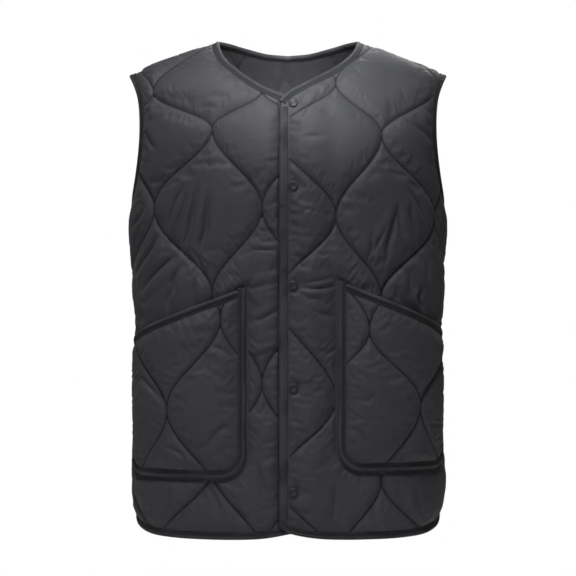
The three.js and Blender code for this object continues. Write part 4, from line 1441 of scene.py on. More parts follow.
@dataclass(frozen=True)
class QuiltSewing:
    """The stitches in a panel's quilting lines, outside and inside."""

    thread: Thread
    step: float = 1.5
    reach: float = 3.2
    shortest: int = 5
    clear: float = 0.8
    seat: float = 0.05

    def lines(self, panel: Panel, walls: dict[str, Array]) -> list[tuple[Array, Array]]:
        """The places and normals of each stretch that shows."""
        flat = panel.lattice.reshape(-1, 2)
        heights = walls["base"][..., 2].ravel()
        tree = search_tree(np.stack([flat[:, 0], heights, np.zeros(len(flat))], axis=1))
        open_here = panel.open_distance(panel.lattice[..., 0], walls["base"][..., 2]) > 1
        shown = ((walls["margin"] > self.clear) & open_here).ravel()
        normal = walls["normal"].reshape(-1, 3)
        lift = walls["lift"].ravel()
        top, bottom = heights.max(), heights.min()
        level = np.arange(top, bottom, -self.step)
        mirrored = (1, -1) if panel.face is Face.BACK else (1,)
        found = []
        for k in range(len(panel.quilting.columns) - 1):
            for hand in mirrored:
                girth = hand * panel.quilting.wave(k, level)
                near, index = nearest(np.stack([girth, level, np.zeros(len(level))], axis=1), tree)
                keep = (near < self.reach) & shown[index]
                for run in np.split(np.arange(len(level)), np.flatnonzero(np.diff(keep.astype(int))) + 1):
                    if len(run) < self.shortest or not keep[run[0]]:
                        continue
                    cloth = panel.form.cloth_at(girth[run], level[run], panel.face)
                    place = panel.at(girth[run], cloth)
                    out = normal[index[run]]
                    seat = lift[index[run]][:, None]
                    found.append((place + out * (seat + EDGE_WALL + self.seat), out))
                    found.append((place + out * (seat - self.seat), -out))
        return found

    def sew(self, panel: Panel, walls: dict[str, Array]) -> bpy.types.Object:
        """Makes the panel's quilting stitches."""
        return self.thread.piece(f"quilting_{panel.name}", self.lines(panel, walls))


# Binding


class Run(NamedTuple):
    """A stretch of a panel's edge that a tape covers, as lattice places, and a place inside it."""

    panel: Panel
    edge: Array
    inside: tuple[int, int]


class Fold(NamedTuple):
    """A line along a flap: its share of the flap's width, how high it stands and how soft it is."""

    share: float
    rise: float
    soft: float


@dataclass(frozen=True)
class Tape:
    """A folded binding tape, in millimetres."""

    width: float = TAPE_WIDTH
    step: float = 1.7
    strips: int = 6
    wall: float = 0.8
    gap: float = 0.3
    rim: float = 2.0
    ends: float = 1.2
    under: float = 0.1
    rim_rise: float = 1.5
    rim_swell: float = 0.1
    rim_angles: tuple[float, ...] = (62, 32, 0, -32, -62)
    # groove sets the groove's depth and the painted shade along it and along the sewn edges
    groove: float = 1.0
    groove_line: int = 5
    stitched: float = 0.85
    stitch_seat: float = 0.6
    back_seat: float = 0.42
    # section points of the rolled rim that carry the painted highlight
    rim_highlight_from: int = 7
    rim_highlight_to: int = 14
    joint_passes: int = 6
    joint_reach: int = 4

    @property
    def flap(self) -> float:
        """How far the flaps reach over the cloth."""
        return self.width * FLAP_SHARE

    @property
    def folds(self) -> tuple[Fold, ...]:
        """The lines along a flap, from its sewn edge to the rim."""
        return (
            Fold(1.0, 0.35, 0),
            Fold(0.99, 0.8, 0.4),
            Fold(0.93, 0.95, 0.8),
            Fold(0.85, 0.55, 0.3),
            Fold(0.76, 1.0, 0.9),
            Fold(0.5, 1.4 - 0.65 * self.groove, 1.1),
            Fold(0.3, 1.6, 1.0),
            Fold(0.1, 1.75, 0.5),
        )

    def strip(self, run: Run) -> tuple[Array, Array]:
        """The cloth's inner side and its normals along and across the tape.

        Returns:
            Points and normals, each with axes for station, place across the flap, and x, y, z.
        """
        panel = run.panel
        sampled = panel.plain[run.edge[:, 0], run.edge[:, 1]]
        where = panel.at(sampled[:, 0], sampled[:, 1])
        reach = arc_lengths(where)
        count = max(int(reach[-1] / self.step), 8)
        around, cloth = resampled(reach, np.linspace(0, reach[-1], count + 1), *sampled.T)
        here = panel.at(around, cloth)
        forward = unit(np.gradient(here, axis=0))
        inside = panel.plain[run.inside]
        target = panel.at(inside[:1], inside[1:])[0]
        points, normals = [], []
        nudge = 0.5
        turn = None
        for n in range(self.strips + 1):
            here = panel.at(around, cloth)
            nearer = np.where(around < 0, nudge, -nudge)
            by_girth = (panel.at(around + nearer, cloth) - here) / nearer[:, None]
            by_cloth = (panel.at(around, np.maximum(cloth, 0) + nudge) - here) / nudge
            out = unit(np.cross(by_girth, by_cloth)) * panel.face.value * panel.hand
            lift = panel.lift(around, here[:, 2])[:, None]
            points.append(here + out * lift)
            normals.append(out)
            inward = unit(np.cross(out, forward))
            if turn is None:
                turn = np.sign(dots(inward, target - here).sum())
            inward = inward * turn * self.flap / self.strips
            a, b, c = dots(by_girth, by_girth), dots(by_girth, by_cloth), dots(by_cloth, by_cloth)
            p, q = dots(inward, by_girth), dots(inward, by_cloth)
            around = around + (c * p - b * q) / (a * c - b * b)
            cloth = cloth + (a * q - b * p) / (a * c - b * b)
        return np.stack(points, axis=1), np.stack(normals, axis=1)

    def path(self, runs: Sequence[Run], closed: bool) -> tuple[Array, Array]:
        """The strips of all runs, smoothed where one meets the next."""
        strips = [self.strip(run) for run in runs]
        points = np.concatenate([s[0] for s in strips])
        normals = np.concatenate([s[1] for s in strips])
        ends = np.cumsum([len(s[0]) for s in strips])
        joints = [int(e) for e in (ends if closed else ends[:-1])]
        for _ in range(self.joint_passes):
            for array in (points, normals):
                for joint in joints:
                    near = np.arange(joint - self.joint_reach, joint + self.joint_reach) % len(points)
                    before, after = (near - 1) % len(points), (near + 1) % len(points)
                    array[near] = (array[before] + 2 * array[near] + array[after]) / 4
        normals = unit(normals)
        return points, normals

    def rings(self, points: Array, normals: Array, seed: int) -> tuple[Array, Array, Array]:
        """The tape's outer and under profiles at each station.

        Returns:
            The outer points, the points under them, and the outer stitches' places, their normals
            and the inner stitches' places.
        """
        reach = arc_lengths(points[:, 0])
        inward = unit(points[:, 1] - points[:, 0])
        places = np.linspace(0, self.flap, self.strips + 1)

        def on_cloth(inset: Array, columns: Array) -> Array:
            """Reads the strip at an inset that may differ from station to station."""
            index = np.clip(inset / places[1], 0, self.strips - 1e-6)
            low = index.astype(int)
            share = (index - low)[:, None]
            rows = np.arange(len(columns))
            return columns[rows, low] * (1 - share) + columns[rows, low + 1] * share

        wobble = ripples(reach, TAPE_WOBBLE, seed)
        gather = ripples(reach, TAPE_PUCKERS, seed)

        def lay(side: int, wall: float, thin: float, press: float) -> tuple[list[Array], list[Array]]:
            """Lays a flap on the cloth's outer side, 1, or its inner side, -1.

            Args:
                side: the side.
                wall: how far that side lies off the cloth's inner side.
                thin: the share of the folds' height that it keeps.
                press: how far it is pressed down.

            Returns:
                The flap's outer lines, and those under them.
            """
            outer, under = [], []
            for fold in self.folds:
                inset = fold.share * (self.flap + side * wobble)
                base, out = on_cloth(inset, points), side * on_cloth(inset, normals)
                height = (fold.rise * thin + side * fold.soft * gather)[:, None]
                outer.append(base + out * (wall + self.gap + height - press))
                under.append(base + out * (wall + self.gap - self.under))
            return outer, under

        top, top_under = lay(1, EDGE_WALL, 1.0, 0.35)
        bottom, bottom_under = lay(-1, 0, 0.8, 0.2)
        half = EDGE_WALL / 2
        centre = points[:, 0] + normals[:, 0] * half
        swell = (1 + self.rim_swell * gather)[:, None]
        rim, rim_under = [], []
        for angle in np.radians(self.rim_angles):
            aside, up = -inward * math.cos(angle), normals[:, 0] * math.sin(angle)
            rim.append(centre + aside * self.rim * swell + up * (half + self.rim_rise))
            rim_under.append(centre + aside * (self.rim - self.wall) + up * (half + self.gap))
        shell = np.stack([*top, *rim, *bottom[::-1]], axis=1)
        lining = np.stack([*top_under, *rim_under, *bottom_under[::-1]], axis=1)

        inset = np.full(len(points), self.stitched * self.flap)
        base = on_cloth(inset + wobble * self.stitched, points)
        out = on_cloth(inset, normals)
        stitches = base + out * (EDGE_WALL + self.gap + self.stitch_seat)
        backs = base - out * (self.gap + self.back_seat)
        return shell, lining, np.stack([stitches, out, backs], axis=1)

    def mesh(self, name: str, shell: Array, lining: Array, closed: bool) -> bpy.types.Object:
        """Makes the closed tape between its outer and under profiles."""
        across = shell.shape[1]
        section = np.concatenate([shell, lining[:, ::-1]], axis=1)
        stations, size = section.shape[:2]
        index = np.arange(stations * size).reshape(stations, size)
        low = index if closed else index[:-1]
        high = np.roll(index, -1, axis=0) if closed else index[1:]
        low_next, high_next = np.roll(low, -1, axis=1), np.roll(high, -1, axis=1)
        sides = [np.stack([low, low_next, high_next], -1), np.stack([low, high_next, high], -1)]
        triangles = [s.reshape(-1, 3) for s in sides]
        if not closed:
            for end, flip in ((index[0], False), (index[-1], True)):
                for k in range(across - 1):
                    a, b, c, d = end[k], end[k + 1], end[size - 2 - k], end[size - 1 - k]
                    cap = np.array([(a, c, b), (a, d, c)])
                    triangles.append(cap[:, ::-1] if flip else cap)
        reach = arc_lengths(shell[:, across // 2])
        around = np.cumsum(np.linalg.norm(np.diff(section, axis=1, prepend=section[:, :1]), axis=2), axis=1)
        uv = np.stack([np.repeat(reach[:, None], size, axis=1), around], axis=-1).reshape(-1, 2) * MM
        # The rolled rim carries a painted highlight.
        rolled = np.zeros((stations, size))
        rolled[:, self.rim_highlight_from : self.rim_highlight_to] = 1
        # Painted shade along the flaps' sewn edges and the groove.
        sewn = np.zeros((stations, size))
        for line, share in ((0, self.groove / 2), (self.groove_line, self.groove)):
            sewn[:, line] = sewn[:, across - 1 - line] = share
        layers = {"rolled": rolled.ravel(), "sewn": sewn.ravel()}
        return make_object(name, section.reshape(-1, 3), np.concatenate(triangles), uv, layers)


@dataclass(frozen=True)
class Binding:
    """A tape round one or more edges, with its stitches."""

    node: str
    runs: Sequence[Run]
    seed: int
    tape: Tape = Tape()
    closed: bool = False

    def make(self, thread: Thread) -> tuple[bpy.types.Object, bpy.types.Object, tuple[float, float]]:
        """Makes the tape and its stitches.

        Returns:
            The tape, its stitches, and the tape's flat width and length in metres.
        """
        points, normals = self.tape.path(self.runs, self.closed)
        if not self.closed:
            points, normals = self._extended(points, normals)
        shell, lining, sewn = self.tape.rings(points, normals, self.seed)
        piece = self.tape.mesh(self.node + "_tape", shell, lining, self.closed)
        stitches = thread.piece(
            f"stitches_{self.node}", [(sewn[:, 0], sewn[:, 1]), (sewn[:, 2], -sewn[:, 1])]
        )
        around = np.linalg.norm(np.diff(shell, axis=1), axis=2).sum(axis=1).mean()
        length = arc_lengths(shell[:, shell.shape[1] // 2])[-1]
        return piece, stitches, (around * MM, length * MM)

    def _extended(self, points: Array, normals: Array) -> tuple[Array, Array]:
        """Lets the tape's ends stand a little past the edge's ends."""
        first = points[:1] + unit(points[:1] - points[1:2]) * self.tape.ends
        last = points[-1:] + unit(points[-1:] - points[-2:-1]) * self.tape.ends
        return np.concatenate([first, points, last]), np.concatenate([normals[:1], normals, normals[-1:]])


# Snaps


class SnapPart(Enum):
    """A part of a snap, by its node's name."""

    CAP = "cap"
    STUD = "stud"
    BASE = "base"


class Turned(NamedTuple):
    """A point of a turned profile."""

    radius: float
    height: float


# Each profile goes from its axis outside round to its axis inside
SNAP_PROFILES = {
    SnapPart.CAP: table(Turned,
        (0, 1.46), (1.1, 1.5), (2.3, 1.62), (3.1, 1.86), (3.7, 2.12), (4.4, 2.2), (5.2, 2.06),
        (5.85, 1.66), (6.2, 1.1), (6.3, 0.5), (6.15, 0.1), (5.8, 0), (3, 0), (0, 0),
    ),
    SnapPart.STUD: table(Turned,
        (0, 1.2), (1.4, 1.2), (1.9, 1.05), (2.05, 0.7), (2.4, 0.45), (3.9, 0.42), (4.4, 0.3),
        (4.5, 0.1), (4.3, 0), (0, 0),
    ),
    SnapPart.BASE: table(Turned,
        (0, 0.1), (1.6, 0.1), (4.9, 0.1), (5.4, 0.02), (5.5, -0.3), (5.2, -0.75), (4.4, -0.95),
        (3.6, -0.8), (2.6, -0.62), (0, -0.6),
    ),
}


@dataclass(frozen=True)
class Snap:
    """A press snap through both fronts, in millimetres."""

    segments: int = 44
    heights: tuple[float, ...] = SNAP_HEIGHTS
    seats: tuple[tuple[SnapPart, float], ...] = (
        (SnapPart.CAP, 8.9),
        (SnapPart.STUD, 4.1),
        (SnapPart.BASE, -1.7),
    )

    def make(self, form: BodyForm, number: int, part: SnapPart, seat: float) -> bpy.types.Object:
        """Turns one part and sets it square on the closing."""
        height = np.array([self.heights[number]], float)
        girth = np.array([SNAP_GIRTH])
        cloth = form.cloth_at(girth, height, Face.FRONT)
        place = form.point(girth, cloth, Face.FRONT)[0]
        aside = unit(form.point(girth + 2, cloth, Face.FRONT)[0] - place)
        down = unit(form.point(girth, cloth + 2, Face.FRONT)[0] - place)
        out = unit(np.cross(down, aside))
        out = out * np.sign(out[1]) * Face.FRONT.value
        down = unit(np.cross(out, aside))
        profile = SNAP_PROFILES[part]
        turn = np.arange(self.segments) * 2 * math.pi / self.segments
        spokes = np.cos(turn)[:, None] * aside + np.sin(turn)[:, None] * down
        rings = [place + out * (seat + p.height) + spokes * p.radius for p in profile[1:-1]]
        ends = [place + out * (seat + p.height) for p in (profile[0], profile[-1])]
        points = np.concatenate([ends[0][None], *rings, ends[1][None]])
        here = np.arange(self.segments)
        after = (here + 1) % self.segments
        faces = [np.stack([np.zeros_like(here), 1 + here, 1 + after], axis=1)]
        for k in range(len(rings) - 1):
            low, high = 1 + k * self.segments, 1 + (k + 1) * self.segments
            faces.append(np.stack([low + here, high + here, high + after], axis=1))
            faces.append(np.stack([low + here, high + after, low + after], axis=1))
        final = 1 + (len(rings) - 1) * self.segments
        tip = np.full_like(here, len(points) - 1)
        faces.append(np.stack([final + here, tip, final + after], axis=1))
        return make_object(f"snap_{part.value}_{number + 1}_turned", points, np.concatenate(faces))


# Finishes


class Wire:
    """A shader socket that arithmetic can use. Sums and products of values become Math nodes."""

    def __init__(self, paint: "Paint", socket: bpy.types.NodeSocket) -> None:
        """Keeps the socket and the paint that it belongs to."""
        self.paint = paint
        self.socket = socket

    def math(self, operation: str, *terms: "Wire | float") -> "Wire":
        """One Math node on the given terms."""
        return self.paint.node("ShaderNodeMath", {"operation": operation}, dict(enumerate(terms)))

    def __add__(self, other: "Wire | float") -> "Wire":
        """The sum."""
        return self.math("ADD", self, other)

    __radd__ = __add__

    def __sub__(self, other: "Wire | float") -> "Wire":
        """The difference."""
        return self.math("SUBTRACT", self, other)

    def __rsub__(self, other: "Wire | float") -> "Wire":
        """The difference, from the other."""
        return self.math("SUBTRACT", other, self)

    def __mul__(self, other: "Wire | float") -> "Wire":
        """The product."""
        return self.math("MULTIPLY", self, other)

    __rmul__ = __mul__

    def __pow__(self, exponent: float) -> "Wire":
        """The power."""
        return self.math("POWER", self, exponent)

    def sine(self) -> "Wire":
        """The sine."""
        return self.math("SINE", self)

    def between(self, low: float, high: float) -> "Wire":
        """A smooth rise from 0 at low to 1 at high."""
        ends = {0: self, 1: low, 2: high, 3: 0.0, 4: 1.0}
        return self.paint.node("ShaderNodeMapRange", {"interpolation_type": "SMOOTHSTEP"}, ends)


class Paint:
    """A material under construction."""

    def __init__(self, name: str, constant: dict[str, float]) -> None:
        """Starts a material and sets what is the same all over it."""
        self.material = bpy.data.materials.new(name)
        self.material.use_nodes = True
        self.tree = self.material.node_tree
        self.shader = self.tree.nodes["Principled BSDF"]
        for socket, value in constant.items():
            self.shader.inputs[socket].default_value = value

    def node(
        self,
        kind: str,
        settings: dict[str, object],
        values: dict[str | int, "Wire | float | tuple[float, ...]"],
        output: str | int = 0,
    ) -> Wire:
        """Adds a node.

        Args:
            kind: the node's type.
            settings: its settings, set before its sockets.
            values: a value or a link for each socket, by name or number.
            output: the output to hand on.

        Returns:
            The output as a wire.
        """
        made = self.tree.nodes.new(kind)
        for setting, value in settings.items():
            setattr(made, setting, value)
        for socket, value in values.items():
            if isinstance(value, Wire):
                self.tree.links.new(value.socket, made.inputs[socket])
            else:
                made.inputs[socket].default_value = value
        return Wire(self, made.outputs[output])

    def noise(self, place: Wire, scale: float, detail: float = 2.0, twist: float = 0.0) -> Wire:
        """Soft noise over a place."""
        values = {"Vector": place, "Scale": scale, "Detail": detail, "Distortion": twist}
        return self.node("ShaderNodeTexNoise", {}, values)

    def space(self) -> Wire:
        """The place on the object, in metres."""
        return self.node("ShaderNodeTexCoord", {}, {}, "Object")

    def cloth(self) -> tuple[Wire, Wire]:
        """The place along both of the cloth's threads, in metres."""
        uv = self.node("ShaderNodeUVMap", {"uv_map": "cloth"}, {})
        along = self.node("ShaderNodeSeparateXYZ", {}, {0: uv}, 0)
        across = Wire(self, along.socket.node.outputs[1])
        return along, across

    def layer(self, name: str) -> Wire:
        """A value stored on the mesh."""
        return self.node("ShaderNodeAttribute", {"attribute_name": name}, {}, "Fac")

    def mixed(self, share: Wire | float, first: Wire | tuple, second: Wire | tuple) -> Wire:
        """A colour between two others."""
        return self.node("ShaderNodeMix", {"data_type": "RGBA"}, {0: share, 6: first, 7: second}, 2)

    def raised(self, *heights: tuple[Wire, float]) -> Wire:
        """A normal from heights, each with how far it stands out, in metres."""
        normal: Wire | None = None
        for height, reach in heights:
            values: dict = {"Strength": 1.0, "Distance": reach, "Height": height}
            if normal is not None:
                values["Normal"] = normal
            normal = self.node("ShaderNodeBump", {}, values)
        return normal

    def feed(self, socket: str, wire: Wire) -> None:
        """Links a wire to the shader."""
        self.tree.links.new(wire.socket, self.shader.inputs[socket])


def grey(colour: tuple[float, float, float], share: float) -> tuple[float, float, float, float]:
    """A colour made lighter or darker, with full alpha."""
    return (*(c * share for c in colour), 1.0)


@dataclass(frozen=True)
class ShellNylon:
    """Matt charcoal nylon with a soft sheen, over wadding, with painted shade along its stitch lines."""

    colour: tuple[float, float, float] = (0.047, 0.048, 0.054)
    thread: float = 0.00052
    # colour share of the painted shade along the stitch lines
    painted_line_shade: float = 0.02

    def make(self, name: str, crinkle: float = 1.0) -> bpy.types.Material:
        """Makes the material.

        Args:
            name: the material's name.
            crinkle: how strongly the cloth is crinkled.

        Returns:
            The material.
        """
        paint = Paint(name, {"Sheen Weight": 0.05, "Sheen Roughness": 0.5, "Specular IOR Level": 0.36})
        space = paint.space()
        warp, weft = paint.cloth()
        turn = 2 * math.pi / self.thread
        weave = (warp * turn).sine() * (weft * (turn * 0.93)).sine()
        cloud = paint.noise(space, 11, 3)
        mottle = paint.noise(space, 95, 2)
        body = paint.mixed(cloud.between(0.3, 0.7), grey(self.colour, 0.9), grey(self.colour, 1.1))
        tone = paint.mixed(mottle.between(0.35, 0.75) * 0.35, body, grey(self.colour, 1.28))
        woven = paint.mixed(weave.between(-0.6, 0.9) * 0.3, tone, grey(self.colour, 1.35))
        # Painted shade: the stitch lines' valleys are darkened to near black.
        painted_shade_mask = paint.layer("sewn")
        line = painted_shade_mask * painted_shade_mask
        paint.feed("Base Color", paint.mixed(line * 0.97, woven, grey(self.colour, self.painted_line_shade)))
        paint.feed("Roughness", 0.54 + mottle * 0.12 + painted_shade_mask * 0.2 - weave * 0.02)
        soft = paint.noise(space, 52, 3, twist=0.8)
        small = paint.noise(space, 170, 3, twist=0.5)
        heights = [(soft, 0.0008 * crinkle), (small, 0.0002 * crinkle), (weave, 0.00002)]
        paint.feed("Normal", paint.raised(*heights))
        return paint.material


@dataclass(frozen=True)
class BindingRib:
    """Darker ribbed tape, with a painted highlight along its rolled rim."""

    colour: tuple[float, float, float] = (0.029, 0.030, 0.034)
    rib: float = 0.00115
    thread: float = 0.0007

    def make(self) -> bpy.types.Material:
        """Makes the material."""
        constant = {"Sheen Weight": 0.04, "Sheen Roughness": 0.5, "Specular IOR Level": 0.3}
        paint = Paint("binding_rib", constant)
        space = paint.space()
        along, across = paint.cloth()
        drift = paint.noise(space, 60, 2)
        rib = (along * (2 * math.pi / self.rib) + drift * 2.2).sine()
        cross = (across * (2 * math.pi / self.thread)).sine()
        cloud = paint.noise(space, 28, 3)
        body = paint.mixed(cloud.between(0.3, 0.7), grey(self.colour, 0.88), grey(self.colour, 1.12))
        ribbed = paint.mixed(rib.between(-0.7, 0.9) * 0.4, body, grey(self.colour, 1.5))
        # Painted highlight on the rolled rim, uneven along it.
        painted_rim_highlight = paint.layer("rolled") * cloud.between(0.35, 0.62)
        body = paint.mixed(painted_rim_highlight * 0.6, ribbed, grey(self.colour, 2.3))
        # Painted shade along the tape's groove and sewn edges.
        paint.feed("Base Color", paint.mixed(paint.layer("sewn") * 0.85, body, grey(self.colour, 0.2)))
        paint.feed("Roughness", 0.62 + cloud * 0.12 - painted_rim_highlight * 0.08)
        paint.feed("Normal", paint.raised((drift, 0.0006), (rib, 0.00008), (cross, 0.00003)))
        return paint.material


@dataclass(frozen=True)
class SewingThread:
    """Twisted polyester thread, darkened where it is used as painted shade of the stitch holes and valleys.
    """

    colour: tuple[float, float, float] = (0.060, 0.062, 0.070)

    def make(self, name: str, share: float) -> bpy.types.Material:
        """Makes the material, lighter or darker by a share; the vest's shares darken it near to black as
        painted shade.
        """
        paint = Paint(name, {"Specular IOR Level": 0.45})
        space = paint.space()
        fibre = paint.noise(space, 2600, 2)
        shade = paint.noise(space, 90, 2)
        dark, light = grey(self.colour, 0.75 * share), grey(self.colour, 1.3 * share)
        paint.feed("Base Color", paint.mixed(shade * 0.6 + fibre * 0.4, dark, light))
        paint.feed("Roughness", 0.5 + fibre * 0.15)
        paint.feed("Normal", paint.raised((fibre, 0.00006)))
        return paint.material


@dataclass(frozen=True)
class SnapLacquer:
    """Near-black lacquer over pressed metal, worn a little on its ring."""

    colour: tuple[float, float, float] = (0.022, 0.023, 0.026)

    def make(self) -> bpy.types.Material:
        """Makes the material."""
        paint = Paint("snap_lacquer", {"Coat Roughness": 0.3, "Specular IOR Level": 0.4})
        space = paint.space()
        scuff = paint.noise(space, 700, 4, twist=0.4)
        cloud = paint.noise(space, 160, 2)
        worn = scuff.between(0.62, 0.72)
        body = paint.mixed(cloud, grey(self.colour, 0.8), grey(self.colour, 1.25))
        paint.feed("Base Color", paint.mixed(worn * 0.5, body, grey(self.colour, 3.4)))
        paint.feed("Roughness", 0.42 + scuff * 0.16)
        paint.feed("Metallic", worn * 0.5)
        paint.feed("Coat Weight", 0.16 - worn * 0.1)
        paint.feed("Normal", paint.raised((scuff, 0.00004)))
        return paint.material


@dataclass(frozen=True)
class PaleBoard:
    """The studio's pale floor, which fades out at its rim."""

    colour: tuple[float, float, float] = (0.9, 0.9, 0.9)
    solid: float = 1.1
    reach: float = 2.1

    def make(self) -> bpy.types.Material:
        """Makes the material."""
        paint = Paint("pale_board", {"Specular IOR Level": 0.1})
        space = paint.space()
        cloud = paint.noise(space, 1.6, 2)
        away = paint.node("ShaderNodeVectorMath", {"operation": "LENGTH"}, {0: space}, 1)
        paint.feed("Base Color", paint.mixed(cloud, grey(self.colour, 0.99), grey(self.colour, 1.01)))
        paint.feed("Roughness", 0.85 + cloud * 0.05)
        paint.feed("Alpha", 1 - away.between(self.solid, self.reach))
        return paint.material


# The studio


class Softbox(NamedTuple):
    """A soft area light, in metres and watts."""

    name: str
    place: tuple[float, float, float]
    aim: tuple[float, float, float]
    width: float
    height: float
    power: float


class Snoot(NamedTuple):
    """A narrow spotlight with a soft edge, in metres, degrees and watts."""

    name: str
    place: tuple[float, float, float]
    aim: tuple[float, float, float]
    angle: float
    size: float
    power: float


@dataclass(frozen=True)
class Studio:
    """The camera, soft lights, a white room and a pale floor."""

    distance: float = 3.5
    eye: float = -0.3353
    lens: float = 160.5
    ambient: float = 0.06
    floor: float = -1.02
    floor_reach: float = 2.15
    floor_sides: int = 64
    lights: tuple[Softbox, ...] = (
        Softbox("key", (-0.25, -1.1, 1.85), (0, 0, -0.3), 0.8, 0.7, 44),
        Softbox("front", (-0.5, -2.7, -0.1), (0, 0, -0.45), 0.8, 1.0, 6),
        Softbox("back", (0.5, 2.2, 1.2), (0, 0, -0.3), 1.2, 1.2, 26),
    )
    snoot: Snoot = Snoot("snoot", (0.3, -2.5, 0.5), (0, 0.09, -0.045), 6, 0.12, 740)

    def camera(self) -> None:
        """Sets up the camera straight in front."""
        data = bpy.data.cameras.new("camera")
        data.lens = self.lens
        data.sensor_width = 36
        data.clip_end = 20
        eye = bpy.data.objects.new("camera", data)
        eye.location = (0, -self.distance, self.eye)
        eye.rotation_euler = (math.pi / 2, 0, 0)
        bpy.context.scene.collection.objects.link(eye)
        bpy.context.scene.camera = eye

    @staticmethod
    def hang(light: bpy.types.Light, lamp: Softbox | Snoot) -> None:
        """Hangs a light at its place, turned to what it lights."""
        light.energy = lamp.power
        hung = bpy.data.objects.new(lamp.name, light)
        hung.location = lamp.place
        toward = Vector(lamp.aim) - Vector(lamp.place)
        hung.rotation_euler = toward.to_track_quat("-Z", "Y").to_euler()
        bpy.context.scene.collection.objects.link(hung)

    def light(self) -> None:
        """Sets up the soft lights, and the narrow one that lights the neck."""
        for box in self.lights:
            area = bpy.data.lights.new(box.name, "AREA")
            area.shape = "RECTANGLE"
            area.size, area.size_y = box.width, box.height
            self.hang(area, box)
        spot = bpy.data.lights.new(self.snoot.name, "SPOT")
        spot.spot_size, spot.spot_blend = math.radians(self.snoot.angle), 1
        spot.shadow_soft_size = self.snoot.size
        self.hang(spot, self.snoot)

    def room(self) -> None:
        """Makes a white room that shines only a little on the vest."""
        world = bpy.data.worlds.new("studio")
        world.use_nodes = True
        nodes, links = world.node_tree.nodes, world.node_tree.links
        seen = nodes["Background"]
        shining = nodes.new("ShaderNodeBackground")
        shining.inputs["Strength"].default_value = self.ambient
        for background in (seen, shining):
            background.inputs["Color"].default_value = (1, 1, 1, 1)
        either = nodes.new("ShaderNodeMixShader")
        links.new(nodes.new("ShaderNodeLightPath").outputs["Is Camera Ray"], either.inputs[0])
        links.new(shining.outputs[0], either.inputs[1])
        links.new(seen.outputs[0], either.inputs[2])
        links.new(either.outputs[0], nodes["World Output"].inputs["Surface"])
        bpy.context.scene.world = world
        bpy.context.scene.view_settings.view_transform = "Standard"

    def ground(self) -> None:
        """Makes the floor, a round board."""
        reach, sides = self.floor_reach, self.floor_sides
        turn = np.arange(sides) * 2 * math.pi / sides
        points = [(reach * math.cos(t), reach * math.sin(t), 0) for t in turn]
        mesh = bpy.data.meshes.new("floor")
        mesh.from_pydata(points, [], [range(sides)])
        floor = bpy.data.objects.new("floor", mesh)
        floor.location.z = self.floor
        mesh.materials.append(PaleBoard().make())
        bpy.context.scene.collection.objects.link(floor)


# The vest


class Wardrobe:
    """The finishes that the vest's pieces share."""

    def __init__(self) -> None:
        """Makes each finish once."""
        self.shell = ShellNylon().make("shell_nylon")
        self.tape = BindingRib().make()
        # Both threads are darkened near to black, as painted shade of the quilting valleys and the
        # topstitch holes.
        self.quilting = SewingThread().make("quilting_thread", 0.1)
        self.topstitch = SewingThread().make("topstitch_thread", 0.14)
        self.lacquer = SnapLacquer().make()


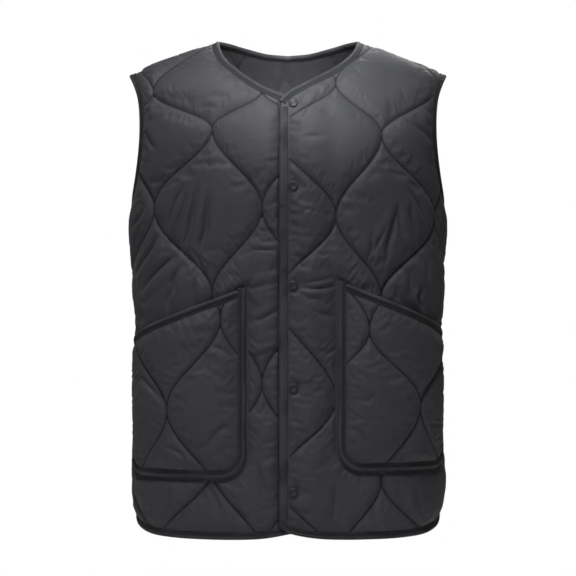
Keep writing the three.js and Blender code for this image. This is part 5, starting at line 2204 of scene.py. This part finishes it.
class Vest:
    """The whole garment: panels, pockets, bindings, stitches and snaps."""

    def __init__(self) -> None:
        """Cuts the panels."""
        self.form = BodyForm()
        self.finish = Wardrobe()
        self.maker = PanelMaker(Wadding())
        self.right = FrontPanel(self.form, Side.RIGHT, flat=17.5, lift=0, creases=RIGHT_CREASES)
        self.left = FrontPanel(self.form, Side.LEFT, flat=-3.6, lift=5.6, creases=LEFT_CREASES)
        self.back = BackPanel(self.form)
        self.pockets = [PocketPanel(self.form, side) for side in Side]

    def dress(self, piece: bpy.types.Object, material: bpy.types.Material, slot: str, *nodes: str) -> None:
        """Gives a piece its finish and its place in the model."""
        piece.data.materials.append(material)
        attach(piece, BODY)
        if nodes:
            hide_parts(*nodes)
        LOG.info("%s: %d faces", piece.name, len(piece.data.polygons))

    def panel(self, panel: Panel) -> None:
        """Makes a panel and its quilting stitches."""
        piece, walls = self.maker.make(panel)
        self.dress(piece, self.finish.shell, "shell", panel.name)
        flat = panel.at(panel.plain[..., 0], panel.plain[..., 1])
        stitches = QuiltSewing(Thread(pitch=4.0, length=3.0, radius=0.3)).sew(panel, walls)
        self.dress(stitches, self.finish.quilting, "shell")

    def bindings(self) -> list[Binding]:
        """The bindings, in the order in which a maker sews them on."""
        right, left, back = self.right, self.left, self.back
        cut = right.cut
        rows, neck, last = cut.rows, cut.neck_cells, right.plain.shape[1] - 1
        middle, wide = (rows // 2, last // 2), (rows // 2, back.plain.shape[1] // 2)
        shoulder, back_last = back.cut.shoulder_cells, back.plain.shape[1] - 1
        edge = Tape(width=CLOSING_TAPE_WIDTH, ends=0.2, groove=0.15, stitched=0.9, rim_highlight_from=0)
        made = [
            Binding(
                "neck_binding",
                [
                    Run(right, lattice_edge(rows, range(neck + 1)), middle),
                    Run(back, lattice_edge(rows, range(shoulder, back_last - shoulder + 1)), wide),
                    Run(left, lattice_edge(rows, range(neck, -1, -1)), middle),
                ],
                11,
            ),
            Binding(
                "hem_binding",
                [
                    Run(right, lattice_edge(0, range(last + 1)), middle),
                    Run(back, lattice_edge(0, range(back_last + 1)), wide),
                    Run(left, lattice_edge(0, range(last, -1, -1)), middle),
                ],
                21,
            ),
        ]
        for n, (front, column) in enumerate(((right, 0), (left, back_last))):
            side = front.name.removeprefix("front_")
            up = lattice_edge(range(CLOSING_CLEAR, rows + 1 - CLOSING_CLEAR), 0)
            made.append(Binding(f"front_edge_binding_{side}", [Run(front, up, middle)], 31 + n, edge))
            arm = range(cut.side_cells, rows + 1)
            runs = [
                Run(front, lattice_edge(arm, last), middle),
                Run(back, lattice_edge(arm[::-1], column), wide),
            ]
            made.append(Binding(f"armhole_binding_{side}", runs, 41 + n, closed=True))
        for n, pocket in enumerate(self.pockets):
            cells = pocket.place.cut.cells
            centre = (cells // 2, cells // 2)
            side = pocket.name.removeprefix("pocket_")
            runs = [
                Run(pocket, lattice_edge(range(cells, -1, -1), 0), centre),
                Run(pocket, lattice_edge(0, range(cells + 1)), centre),
                Run(pocket, lattice_edge(range(cells + 1), cells), centre),
            ]
            made.append(Binding(f"pocket_edge_binding_{side}", runs, 51 + n))
            top = [Run(pocket, lattice_edge(cells, range(TOP_CLEAR, cells + 1 - TOP_CLEAR)), centre)]
            made.append(Binding(f"pocket_top_binding_{side}", top, 61 + n, Tape(ends=0.6)))
        return made

    def make(self) -> None:
        """Makes every piece."""
        for panel in (self.back, self.right, self.left, *self.pockets):
            self.panel(panel)
        for binding in self.bindings():
            piece, stitches, flat = binding.make(Thread(pitch=4.7, length=2.4, radius=0.62))
            self.dress(piece, self.finish.tape, "binding", binding.node)
            LOG.info("%s: tape %.4f by %.3f m", binding.node, *flat)
            self.dress(stitches, self.finish.topstitch, "binding")
        snap = Snap()
        for number in range(len(snap.heights)):
            for part, seat in snap.seats:
                piece = snap.make(self.form, number, part, seat)
                self.dress(piece, self.finish.lacquer, "snap", f"snap_{part.value}_{number + 1}")


def main() -> None:
    """Builds the studio and the vest."""
    logging.basicConfig(level=logging.INFO, format="%(message)s")
    studio = Studio()
    studio.camera()
    Vest().make()
    studio.ground()
    studio.light()
    studio.room()


if __name__ == "__main__":
    main()
